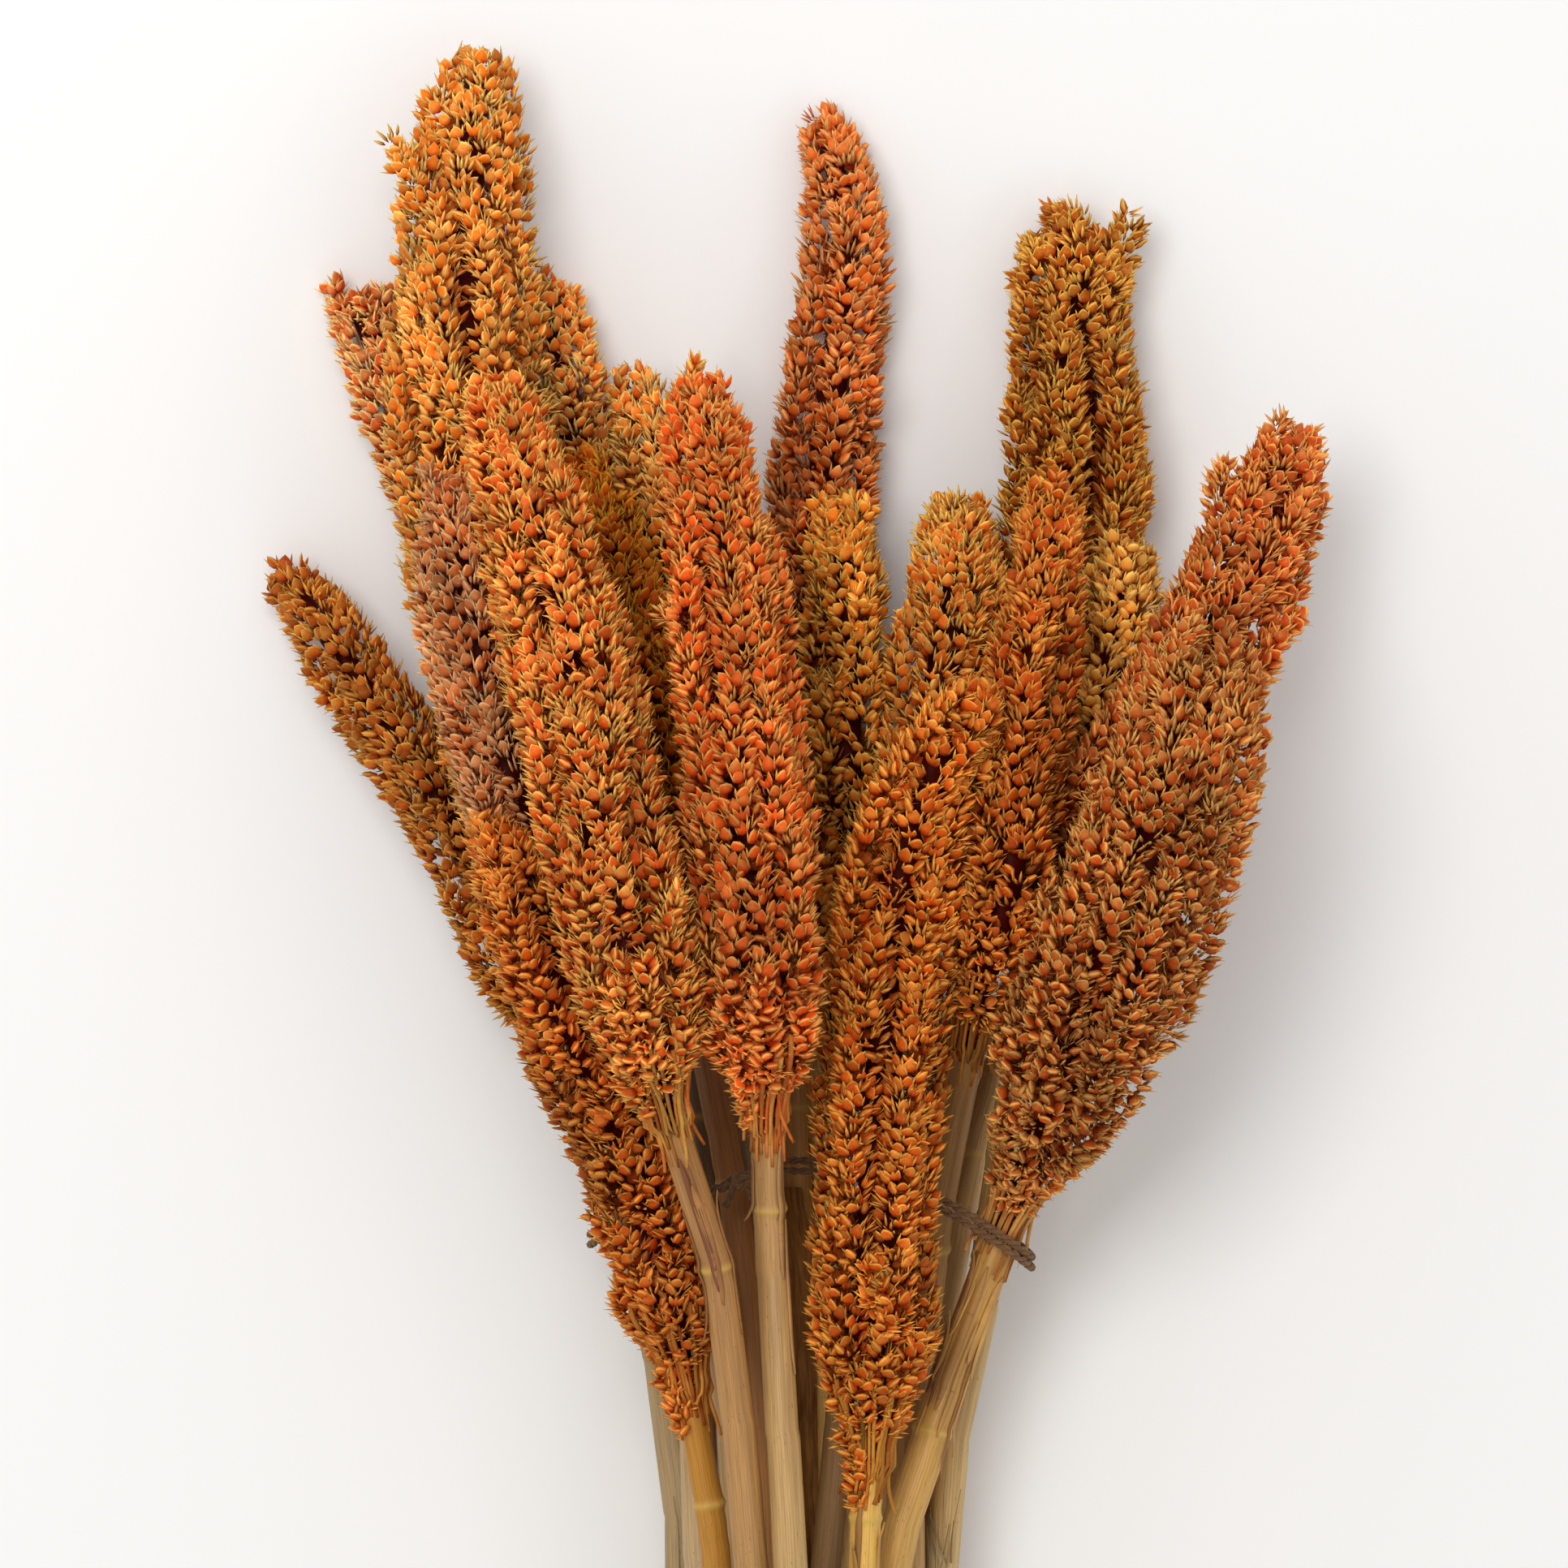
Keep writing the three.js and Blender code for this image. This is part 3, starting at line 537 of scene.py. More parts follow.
letters = sorted(name[-1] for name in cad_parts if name.startswith("stem_"))
stem_spines = {}
for number, letter in enumerate(letters):
    spine = spine_of("stem_" + letter, STEM_STEP, STEM_SOLID)[0]
    stem_spines[letter] = spine
    rng = np.random.default_rng(100 + number)
    stations, at_ring, middle, skin = stem_skin(spine, rng)
    rings = len(stations)
    index, sides, uv = grid_faces(rings, STEM_SIDES, True)
    turns = np.arange(STEM_SIDES) / STEM_SIDES
    s_all = np.repeat(stations, STEM_SIDES)
    shape = Shape("around", "along", "near_head", "at_ring", "torn")
    shape.add(skin.reshape(-1, 3), index, sides, uv * [0.96, 0.9], around=np.tile(turns, rings),
              along=s_all, near_head=s_all / spine.length,
              at_ring=np.repeat(at_ring, STEM_SIDES) * RING_TINT)
    for ring, sign in ((0, -1), (rings - 1, 1)):
        tangent = spine.at(stations[ring])[1]
        add_cut_end(shape, skin[ring], middle[ring], tangent, sign, turns, stations[ring])
    for k in range(TORN_STEMS.get(letter, 0)):
        add_torn_strip(shape, spine, k, rng)
    upper, lower = STEM_COLOURS.get(letter, PLAIN_STRAW)
    material = culm("straw_skin_" + letter, upper, lower, RING_COLOUR)
    piece = shape.make("straw_stem_" + letter, material)
    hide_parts("stem_" + letter)
    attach(piece, "root")


# ---------------------------------------------------------------------------------------------
# The seed heads.
# A sorghum head is a thick spike of many short branches, each packed like a rope with dyed,
# dried spikelets: a plump pointed grain between narrow husks. They grow out of the stem's end.

GRAIN_LENGTH = 4.8 * MM
GRAIN_WIDTH = 4.0 * MM
GRAIN_DEPTH = 2.2 * MM
BRACT_LENGTH = 5.2 * MM
BRACT_WIDTH = 0.85 * MM
BRACT_DEPTH = 0.34 * MM
GLUME_WIDTH = 1.9 * MM
GRAIN_PITCH = 3.55 * MM  # from one grain to the next round a branch
GRAIN_ROW = 3.9 * MM  # and along it
GOLDEN_TURN = math.pi * (3 - math.sqrt(5))
PROUD = 1.13  # grains stand this much further out than the solid's radius
BRANCH_STEP = 2.0 * MM
HEAD_STEP = 4.0 * MM
HEAD_SOLID = 3.0  # area of the solid's twelve-sided section over its radius squared
CORE_SHARE = 0.34
CORE_SIDES = 10
CORE_SHADE_TONE = -2.8  # painted shade: the core is darkened to match the dark between the branches, where it lies
HIDDEN_SHARE = 0.45  # spikelets nearer to the middle than this are never seen
INNER_REACH = 0.62  # how far out the under-layer lies, beside the outer branches
SPIKELET_SINK = 2.5 * MM  # how far below the branch's outside a spikelet's foot sits
MOST_SPIKELETS = 2650
BARE_SHARE = 0.02  # spikelets that have dropped off
LEAST_HEIGHT = 0.2 * MM
# A spikelet this far inside another branch is left out: beside the outer ones, and the inner.
BURIED_OUTER, BURIED_INNER = 0.62, 0.95
TONE_PLACES = (0, 0.4, 0.75, 1)  # a head is paler at its tip and darker below its middle
TONE_SHIFTS = (0.1, -0.35, 0.1, 0.55)
FOOT_SHARE = 0.58  # the foot of a spikelet, where the deep red painted shade between spikelets is laid on
# Painted shade: how much of the deep red a spikelet's foot takes.
FOOT_SHADE = 0.95


def spindle(around, stations, lean=0.0, tilt=0.0, foot=(0, 0, 0), cell=(0, 0, 1, 1)):
    """A closed pointed body along +Y: rows of (along, half width, half depth), with poles at
    both ends. It is leaned sideways and tilted forwards about its foot."""
    stations = np.array(stations)
    angle = np.arange(around) * 2 * math.pi / around
    across = np.sign(np.cos(angle)) * np.abs(np.cos(angle)) ** 0.75
    rows = stations[1:-1]
    depth = np.sign(np.sin(angle)) * np.abs(np.sin(angle)) ** 0.75
    rings = np.stack([rows[:, 1:2] * across, np.repeat(rows[:, :1], around, axis=1),
                      rows[:, 2:3] * depth], axis=2)
    first, last = [0, stations[0, 0], 0], [0, stations[-1, 0], 0]
    points = np.concatenate([rings.reshape(-1, 3), [first], [last]])
    cos, sin = math.cos(lean), math.sin(lean)
    points = points @ np.array([[cos, -sin, 0], [sin, cos, 0], [0, 0, 1]])
    cos, sin = math.cos(tilt), math.sin(tilt)
    points = points @ np.array([[1, 0, 0], [0, cos, sin], [0, -sin, cos]]) + np.array(foot)
    count = len(rows)
    index, sides, place = grid_faces(count, around, True, turned=True)
    place = place * [1, 0.7] + [0, 0.15]
    turn = np.arange(around)
    after = (turn + 1) % around
    ends = [(turn, after, count * around, 0.15, 0.0),
            (after + (count - 1) * around, turn + (count - 1) * around, count * around + 1, 0.85, 1.0)]
    corners, counts, places = [index], [sides], [place]
    for one, other, pole, edge, tip in ends:
        corners.append(np.stack([one, other, np.full(around, pole)], axis=1).ravel())
        counts.append(np.full(around, 3))
        u = np.stack([turn, turn + 1, turn + 0.5], axis=1) / around
        if tip:
            u = u[:, [1, 0, 2]]
        v = np.tile([edge, edge, tip], (around, 1))
        places.append(np.stack([u, v], axis=2).reshape(-1, 2))
    low_u, low_v, high_u, high_v = cell
    place = np.concatenate(places) * [high_u - low_u, high_v - low_v] + [low_u, low_v]
    edge_share = np.tile(np.abs(np.cos(angle)) ** 2, count)
    along = (np.repeat(rows[:, 0], around) - stations[0, 0]) / (stations[-1, 0] - stations[0, 0])
    return points, np.concatenate(corners), np.concatenate(counts), place, edge_share, along


def spikelet(parts):
    """Joins spindles into one spikelet; each comes with how husky its middle, edges and tip are."""
    points, corners, counts, places, husk, foot, total = [], [], [], [], [], [], 0
    for (body, index, sides, place, edges, along), (middle, edge, tip) in parts:
        points.append(body)
        corners.append(index + total)
        counts.append(sides)
        places.append(place)
        ring_husk = middle + (edge - middle) * edges + (tip - middle) * np.clip(along - 0.6, 0, 1)
        husk.append(np.concatenate([np.clip(ring_husk, 0, 1), [middle, tip]]))
        foot.append(np.clip(1 - np.append(along, [0, 1]) / FOOT_SHARE, 0, 1))
        total += len(body)
    return {"points": np.concatenate(points), "corners": np.concatenate(corners),
            "counts": np.concatenate(counts), "places": np.concatenate(places),
            "husk": np.concatenate(husk), "foot": np.concatenate(foot)}


def grain_rows(length, width, depth):
    """A plump pointed grain's half width and half depth at places along it."""
    return [(0, 0, 0), (0.14 * length, 0.32 * width, 0.36 * depth),
            (0.45 * length, width / 2, depth / 2), (0.77 * length, 0.28 * width, 0.34 * depth),
            (length, 0, 0)]


def bract(lean, tilt, foot, cell, longer=1.0, wider=1.0):
    """A narrow husk, all of it papery."""
    length, width, depth = BRACT_LENGTH * longer, BRACT_WIDTH * wider, BRACT_DEPTH
    rows = [(0, 0, 0), (0.3 * length, width / 2, depth / 2),
            (0.65 * length, 0.42 * width, depth / 2), (length, 0, 0)]
    return spindle(3, rows, lean, tilt, foot, cell), (0.8, 1.0, 1.0)


def glume(length, depth, lean, tilt, aside, cell, husk):
    """One of the two halves of a husk that has opened, or the small grain between them."""
    rows = grain_rows(length, GLUME_WIDTH, depth)
    return spindle(6, rows, lean, tilt, (aside, 0, 0), cell), husk


closed_grain = spikelet([
    (spindle(6, grain_rows(GRAIN_LENGTH, GRAIN_WIDTH, GRAIN_DEPTH), cell=(0, 0, 0.6, 1)),
     (0.0, 1.0, 0.95)),
    bract(0.10, 0.10, (1.4 * MM, 0, 0.2 * MM), (0.62, 0, 0.78, 1)),
    bract(-0.24, -0.06, (-1.35 * MM, 0, 0), (0.8, 0, 0.98, 1), 0.95),
])
open_husk = spikelet([
    glume(4.9 * MM, 0.8 * MM, 0.36, 0.1, 0.6 * MM, (0, 0, 0.26, 1), (0.4, 0.95, 1.0)),
    glume(4.7 * MM, 0.8 * MM, -0.36, 0.1, -0.6 * MM, (0.28, 0, 0.54, 1), (0.45, 0.95, 1.0)),
    glume(3.4 * MM, 1.5 * MM, 0, -0.15, 0, (0.56, 0, 0.82, 1), (0.0, 0.7, 0.7)),
    bract(0.0, -0.35, (0, 0, 0), (0.84, 0, 0.98, 1), 0.9),
])
TUFT_WAYS = (
    # lean, tilt, length beside a plain bract's
    (-0.42, 0.1, 0.95), (-0.15, -0.25, 1.1), (0.05, 0.3, 0.9), (0.22, -0.1, 1.1), (0.5, 0.15, 0.9),
)
husk_tuft = spikelet([
    bract(lean, tilt, (4 * lean * MM, 0, 0), (0.2 * k, 0, 0.2 * k + 0.18, 1), longer, 1.5)
    for k, (lean, tilt, longer) in enumerate(TUFT_WAYS)
])
SPIKELETS = (closed_grain, open_husk, husk_tuft)
SPIKELET_SHARES = (0.66, 0.2, 0.14)


def branch(line, start, end, turn, twist, thick, flare, rng, leave=20 * MM, inner=False):
    """One branch of a head, which leaves the head's middle and comes to lie along its outside.

    Gives its points, its radius at each, the head's middle beside them, and whether it is inside.
    """
    count = max(5, int((end - start) / BRANCH_STEP))
    share = np.linspace(0, 1, count)
    s = start + share * (end - start)
    place, _, sideways, upward, radius = line.at(s)
    leaving = np.clip(share * (end - start) / min(leave, 0.35 * (end - start)), 0, 1)
    leaving = leaving * leaving * (3 - 2 * leaving)
    reach = np.maximum(radius * PROUD - thick, 0.12 * radius)
    reach = reach * (0.3 + 0.7 * leaving) * (INNER_REACH if inner else 1) + flare * share ** 3
    reach = reach + 0.5 * MM * np.sin(share * 7 + rng.uniform(0, FULL_TURN))
    angle = turn + twist * share + 0.09 * np.sin(share * 6 + rng.uniform(0, FULL_TURN))
    girth = thick * (0.62 + 0.38 * np.clip(share / 0.2, 0, 1))
    girth = girth * (1 - 0.4 * np.clip(share - 0.8, 0, 1) / 0.2)
    points = place + reach[:, None] * outward(angle, sideways, upward)
    points[:, 2] = np.maximum(points[:, 2], girth + 0.3 * MM)
    return points, girth, place, inner


def dress(branches, rng, line):
    """Sets spikelets in a spiral round every branch, and tells which of them can be seen."""
    place, forward, facing, owner = [], [], [], []
    for number, (points, girth, middle, _) in enumerate(branches):
        s = lengths(points)
        density = 2 * math.pi * 0.86 * girth.mean() / (GRAIN_PITCH * GRAIN_ROW)
        count = int(s[-1] * density)
        at = (np.arange(count) + rng.uniform(-0.35, 0.35, count)) / density
        at = np.clip(at, 0, s[-1])
        spot = read_at(at, s, points)
        along = unit(read_at(at, s, unit(np.gradient(points, s, axis=0))))
        away = spot - read_at(at, s, middle)
        away = unit(away - (away * along).sum(axis=1, keepdims=True) * along)
        aside = np.cross(along, away)
        turn = np.arange(count) * GOLDEN_TURN + rng.uniform(-0.3, 0.3, count) + rng.uniform(0, FULL_TURN)
        radial = outward(turn, away, aside)
        thick = np.interp(at, s, girth)
        place.append(spot + (thick - SPIKELET_SINK)[:, None] * radial)
        forward.append(along)
        facing.append(radial)
        owner.append(np.full(count, number))
    place, forward, facing = (np.concatenate(rows) for rows in (place, forward, facing))
    owner = np.concatenate(owner)
    count = len(place)
    lift = rng.uniform(0.42, 1.0, count)
    tip_way = unit(forward * np.cos(lift)[:, None] + facing * np.sin(lift)[:, None])
    tip_way = unit(tip_way + rng.normal(0, 0.13, (count, 3)))
    face = unit(facing - (facing * tip_way).sum(axis=1, keepdims=True) * tip_way)
    body = place + 0.5 * GRAIN_LENGTH * tip_way
    seen = body[:, 2] - 0.5 * GRAIN_LENGTH * np.abs(tip_way[:, 2]) > 0.8 * MM
    near = np.argmin(np.linalg.norm(body[:, None] - line.points[None, ::2], axis=2), axis=1)
    deep = np.linalg.norm(body - line.points[::2][near], axis=1)
    deep = deep / np.maximum(line.radius[::2][near], 1 * MM)
    seen &= deep > HIDDEN_SHARE
    inner = np.array([inside for *_, inside in branches])[owner]
    buried = np.where(inner, BURIED_INNER, BURIED_OUTER)[:, None]
    for number, (points, girth, *_) in enumerate(branches):
        gap = np.linalg.norm(body[:, None] - points[None], axis=2) - buried * girth[None]
        seen &= (owner == number) | (gap.min(axis=1) > 0)
    seen &= rng.uniform(0, 1, count) > BARE_SHARE + 0.5 * np.clip(-1.6 * facing[:, 2], 0, 1)
    if seen.sum() > MOST_SPIKELETS:
        # The fullest heads go without some of the grains on the side that faces the surface.
        rows = np.nonzero(seen)[0]
        order = np.argsort(facing[rows, 2] + rng.uniform(0, 0.4, len(rows)))
        seen[rows[order[:len(rows) - MOST_SPIKELETS]]] = False
    kinds = rng.choice(len(SPIKELETS), count, p=SPIKELET_SHARES)
    tones = rng.normal(0, 0.5, count) + rng.normal(0, 0.35, len(branches))[owner]
    tones += np.interp(near / (len(line.points) / 2), TONE_PLACES, TONE_SHIFTS)
    sizes = rng.uniform(0.86, 1.14, (count, 1, 3))
    spin = rng.normal(0, 0.35, count)
    return seen, (place, tip_way, face, deep, kinds, tones, sizes, spin)


def put_spikelets(shape, seen, dressing, cells):
    """Adds the spikelets that can be seen to a head, each with its own cell of the map."""
    place, tip_way, face, deep, kinds, tones, sizes, spin = dressing
    across = np.cross(tip_way, face)
    side = across * np.cos(spin)[:, None] + face * np.sin(spin)[:, None]
    front = np.cross(side, tip_way)
    number = 0
    for kind, template in enumerate(SPIKELETS):
        rows = np.nonzero(seen & (kinds == kind))[0]
        if not len(rows):
            continue
        frame_rows = np.stack([side[rows], tip_way[rows], front[rows]], axis=1)
        points = (template["points"][None] * sizes[rows]) @ frame_rows + place[rows][:, None]
        points[..., 2] = np.maximum(points[..., 2], LEAST_HEIGHT)
        size = len(template["points"])
        corners = template["corners"][None] + np.arange(len(rows))[:, None] * size
        cell = number + np.arange(len(rows))
        corner = np.stack([cell % cells, cell // cells], axis=1)[:, None]
        uv = (template["places"][None] * 0.92 + 0.04 + corner) / cells
        number += len(rows)
        # Painted shade: spikelets that lie deep in the head, and the foot of every spikelet, take the
        # deep red shade colour.
        deep_shaded = np.maximum(np.repeat(np.clip(1.1 - deep[rows], 0, 1), size),
                            FOOT_SHADE * np.tile(template["foot"], len(rows)))
        shape.add(points.reshape(-1, 3), corners.ravel(), np.tile(template["counts"], len(rows)),
                  uv.reshape(-1, 2), husk=np.tile(template["husk"], len(rows)),
                  tone=np.repeat(tones[rows], size), deep=deep_shaded)
    return number


def tube_of(points, radius, around):
    """A closed tube with pointed ends along a row of points."""
    points = np.asarray(points)
    tangent = unit(np.gradient(points, axis=0))
    sideways = unit(np.cross(tangent, [0.02, 0.01, 1.0]))
    upward = np.cross(sideways, tangent)
    angle = np.arange(around) * 2 * math.pi / around
    out = outward(angle[None], sideways[:, None], upward[:, None])
    rings = points[:, None] + np.asarray(radius)[:, None, None] * out
    index, sides, place = grid_faces(len(points), around, True)
    ends = np.stack([points[0], points[-1]])
    total = len(points) * around
    first, first_sides, first_uv = cap_fan(around, 0, total, False)
    last, last_sides, last_uv = cap_fan(around, total - around, total + 1, True)
    return (np.concatenate([rings.reshape(-1, 3), ends]), np.concatenate([index, first, last]),
            np.concatenate([sides, first_sides, last_sides]),
            np.concatenate([place, first_uv * 0.1, last_uv * 0.1]))


def dyed_grain(name, grain, husk, deep_shade_red):
    """Sorghum spikelets steeped in dye: a satin grain coat, and thin papery husks that took less of
    the dye, so that their edges and points stay pale. A deep red painted shade darkens them where
    they lie deep in the head and at their feet."""
    material, tree = new_material(name)
    rim, tone, deep = marks_of(tree, "husk", "tone", "deep")
    husky = add(tree, "ShaderNodeMapRange", {"interpolation_type": "SMOOTHSTEP"}, Value=rim,
                From_Min=0.55, From_Max=0.97).outputs[0]
    where = add(tree, "ShaderNodeTexCoord").outputs["Object"]
    # Dye dries unevenly, in small blots on the coat and in drifts of about 25 mm, and one
    # spikelet took less of it than the next.
    blot = add(tree, "ShaderNodeTexNoise", Vector=where, Scale=1 / (1.3 * MM), Detail=3.0, Roughness=0.6)
    drift = add(tree, "ShaderNodeTexNoise", Vector=where, Scale=1 / (28 * MM), Detail=2.0)
    taken = add(tree, "ShaderNodeTexNoise", Vector=where, Scale=1 / (7 * MM), Detail=1.0)
    worn = add(tree, "ShaderNodeMath", {"operation": "MULTIPLY_ADD", "use_clamp": True},
               _0=blot.outputs["Fac"], _1=0.9, _2=-0.42)
    fainter = add(tree, "ShaderNodeMapRange", Value=taken.outputs["Fac"], From_Min=0.45, From_Max=0.7,
                  To_Max=0.38)
    thin = add(tree, "ShaderNodeMath", {"operation": "ADD"}, _0=worn.outputs[0], _1=fainter.outputs[0])
    paler = add(tree, "ShaderNodeMath", {"operation": "ADD", "use_clamp": True},
                _0=husky, _1=thin.outputs[0])
    coat = add(tree, "ShaderNodeMix", {"data_type": "RGBA"}, _0=paler.outputs[0],
               _6=linear(grain), _7=linear(husk))
    # Painted shade: the deep red is mixed in by the deep mark, for the shade in the head's hollows.
    deep_shaded = add(tree, "ShaderNodeMix", {"data_type": "RGBA"}, _0=deep,
                 _6=coat.outputs[2], _7=linear(deep_shade_red))
    shade = add(tree, "ShaderNodeMapRange", Value=tone, From_Min=-3.0, From_Max=1.2,
                To_Min=0.14, To_Max=1.26)
    toned = add(tree, "ShaderNodeMix", {"data_type": "RGBA", "blend_type": "MULTIPLY"}, _0=1.0,
                _6=deep_shaded.outputs[2], _7=shade.outputs[0])
    cloud = add(tree, "ShaderNodeMapRange", Value=drift.outputs["Fac"], From_Min=0.3, From_Max=0.7,
                To_Min=0.86, To_Max=1.1)
    colour = add(tree, "ShaderNodeMix", {"data_type": "RGBA", "blend_type": "MULTIPLY"}, _0=1.0,
                 _6=toned.outputs[2], _7=cloud.outputs[0])
    shine = add(tree, "ShaderNodeMapRange", Value=husky, To_Min=0.48, To_Max=0.68)
    relief = add(tree, "ShaderNodeBump", Height=blot.outputs["Fac"], Strength=0.4, Distance=0.12 * MM)
    coat_shader = add(tree, "ShaderNodeBsdfPrincipled", Base_Color=colour.outputs[2],
                      Roughness=shine.outputs[0], IOR=1.45, Specular_IOR_Level=0.08,
                      Normal=relief.outputs[0])
    add(tree, "ShaderNodeOutputMaterial", Surface=coat_shader.outputs[0])
    return material


# Dye of each head: the grain's coat, its husks, and the name of a finish, which is not used.
# Painted light: heads d, l and p are coloured brighter than their dye, to make up for the shade that the
# heads beside them cast.
DYES = {
    "a": ("#b45715", "#dea348", "seed_brown"), "b": ("#f27817", "#fbcc69", "seed_gold"),
    "c": ("#da5a1c", "#fcd483", "seed_rust"), "d": ("#fc7e25", "#fbd876", "seed_brown"),
    "e": ("#dc5615", "#fabf5c", "seed_coral"), "f": ("#d06b2a", "#ecbb80", "seed_mauve"),
    "g": ("#be4f0e", "#df9a43", "seed_brown"), "h": ("#e45313", "#f1ac55", "seed_coral"),
    "i": ("#f17a20", "#fbd16d", "seed_brown"), "j": ("#c5520b", "#d79b2c", "seed_brown"),
    "k": ("#ea691c", "#f4b065", "seed_rust"), "l": ("#ff8920", "#ffcf61", "seed_gold"),
    "m": ("#b3540d", "#f2bc52", "seed_brown"), "n": ("#eb6b16", "#fbca60", "seed_gold"),
    "o": ("#c24c0e", "#f3a848", "seed_brown"), "p": ("#ffaa3c", "#ffd26e", "seed_gold"),
    "q": ("#c44714", "#fcb15a", "seed_rust"), "r": ("#ba4c12", "#e0aa59", "seed_rust"),
    "s": ("#cc540f", "#f0ab48", "seed_brown"),
}
# The deep red painted in as shade, in the head's hollows and between its spikelets.
DEEP_SHADE_RED = "#a42203"
BRANCH_THICK = 5.3 * MM  # the radius of a branch with its grains on
BRANCH_FULL_AT = 11 * MM  # a head slimmer than this has slimmer branches
BRANCH_LENGTH = 72 * MM
BRANCH_COVER = 1.35  # branches lie partly over each other
LEAST_BRANCH = 14 * MM
FOOT_BRANCHES = 9
INNER_BRANCHES = 6  # an under-layer, seen only down the gaps between the outer branches
SPURS = 8
SPUR_THICK = 2.9 * MM
TIP_SPRIGS = 5
FOOT_TUFTS = {"g": 5, "s": 8, "e": 5, "h": 4}  # short clusters that hang on at the very foot
LOOSE_HEADS = {"b": 1.5, "i": 1.5, "m": 1.4, "c": 1.3}  # how much further their spurs stand out
NECK = 2 * MM
BARE_NECKS = {"e": 9 * MM, "h": 9 * MM, "r": 5 * MM}  # heads whose branches leave the stem late
LEAST_LOBE = 3.6 * MM
STRANDS = 34  # bare fibres that run from the stem up into the head
LOOSE_STRANDS = 5
STRAND_POINTS = 12
STRAND_SIDES = 5


def long_branches(line, neck, rng):
    """The branches that make up a head, those that leave at its foot, and the layer inside."""
    thick = BRANCH_THICK * min(1.0, line.radius.max() / BRANCH_FULL_AT)
    area = 2 * math.pi * (line.radius * PROUD - thick).clip(1 * MM).mean() * line.length
    count = int(area * BRANCH_COVER / (2 * thick * 0.92 * BRANCH_LENGTH * 0.8)) + 4
    lean = rng.uniform(-0.45, 0.6)
    branches = []
    for k in range(count):
        start = neck + 6 * MM + (line.length - neck - 20 * MM) * (k + 0.5) / count
        start = start + rng.uniform(-5, 5) * MM
        end = min(start + BRANCH_LENGTH * rng.uniform(0.65, 1.2),
                  line.length + rng.uniform(-22, -2) * MM)
        if end - start < LEAST_BRANCH:
            start = end - LEAST_BRANCH
        branches.append(branch(line, start, end, k * GOLDEN_TURN + rng.uniform(-0.3, 0.3),
                               lean + rng.uniform(-0.3, 0.3), thick * rng.uniform(0.82, 1.12),
                               rng.uniform(-1.5, 3.5) * MM, rng))
    for k in range(FOOT_BRANCHES):
        start = neck + rng.uniform(0, 7) * MM
        turn = 2 * math.pi * (k + rng.uniform(-0.25, 0.25)) / FOOT_BRANCHES
        branches.append(branch(line, start, start + rng.uniform(26, 44) * MM, turn, lean * 0.4,
                               0.8 * thick, rng.uniform(0.0, 1.5) * MM, rng, 10 * MM))
    for k in range(INNER_BRANCHES):
        turn = 2 * math.pi * (k + rng.uniform(-0.2, 0.2)) / INNER_BRANCHES
        branches.append(branch(line, neck + 4 * MM, line.length - 10 * MM, turn, 2 * lean,
                               0.75 * thick, 0.0, rng, 10 * MM, True))
    return branches


def short_branches(letter, line, neck, rng):
    """Spurs that stand out along a head, tufts at its foot, and the sprigs of its ragged tip."""
    branches = []
    for k in range(SPURS):
        start = line.length * (0.05 + 0.85 * (k + rng.uniform(0, 1)) / SPURS)
        branches.append(branch(line, start, start + rng.uniform(14, 24) * MM,
                               rng.uniform(0, FULL_TURN), 0.0, SPUR_THICK,
                               rng.uniform(1.5, 5) * MM * LOOSE_HEADS.get(letter, 1.0), rng))
    side = rng.choice([0.0, math.pi])
    for k in range(FOOT_TUFTS.get(letter, 0)):
        start = neck - rng.uniform(6, 17) * MM
        turn = side + rng.uniform(-0.8, 1.1)
        branches.append(branch(line, start, start + rng.uniform(11, 18) * MM, turn, 0.0,
                               rng.uniform(3.2, 4.4) * MM, rng.uniform(1, 4) * MM, rng, 5 * MM))
    for k in range(TIP_SPRIGS):
        turn = 2 * math.pi * (k + rng.uniform(-0.4, 0.4)) / TIP_SPRIGS
        end = line.length + rng.uniform(-9, 1) * MM
        branches.append(branch(line, end - rng.uniform(18, 26) * MM, end, turn, 0.0,
                               rng.uniform(2.6, 3.8) * MM, rng.uniform(-1.5, 4.0) * MM, rng, 5 * MM))
    return branches


def side_branch(line, row, tip, area):
    """A branch that stands clear of the rest: from inside the head out to its own tip."""
    root_row = max(0, row - 9)
    root = line.points[root_row]
    share = np.linspace(0.25, 1.0, 16)
    points = root + share[:, None] * (tip - root) + (share ** 2 * 3 * MM)[:, None] * unit(tip - root)
    width = max(math.sqrt(area / HEAD_SOLID) * PROUD, LEAST_LOBE)
    girth = np.interp(share, [0.25, 0.8, 1], [0.8, 1, 0.75]) * width
    middle = line.at(np.interp(share, [0, 1], line.s[[root_row, row]]))[0]
    return points, girth, middle, False


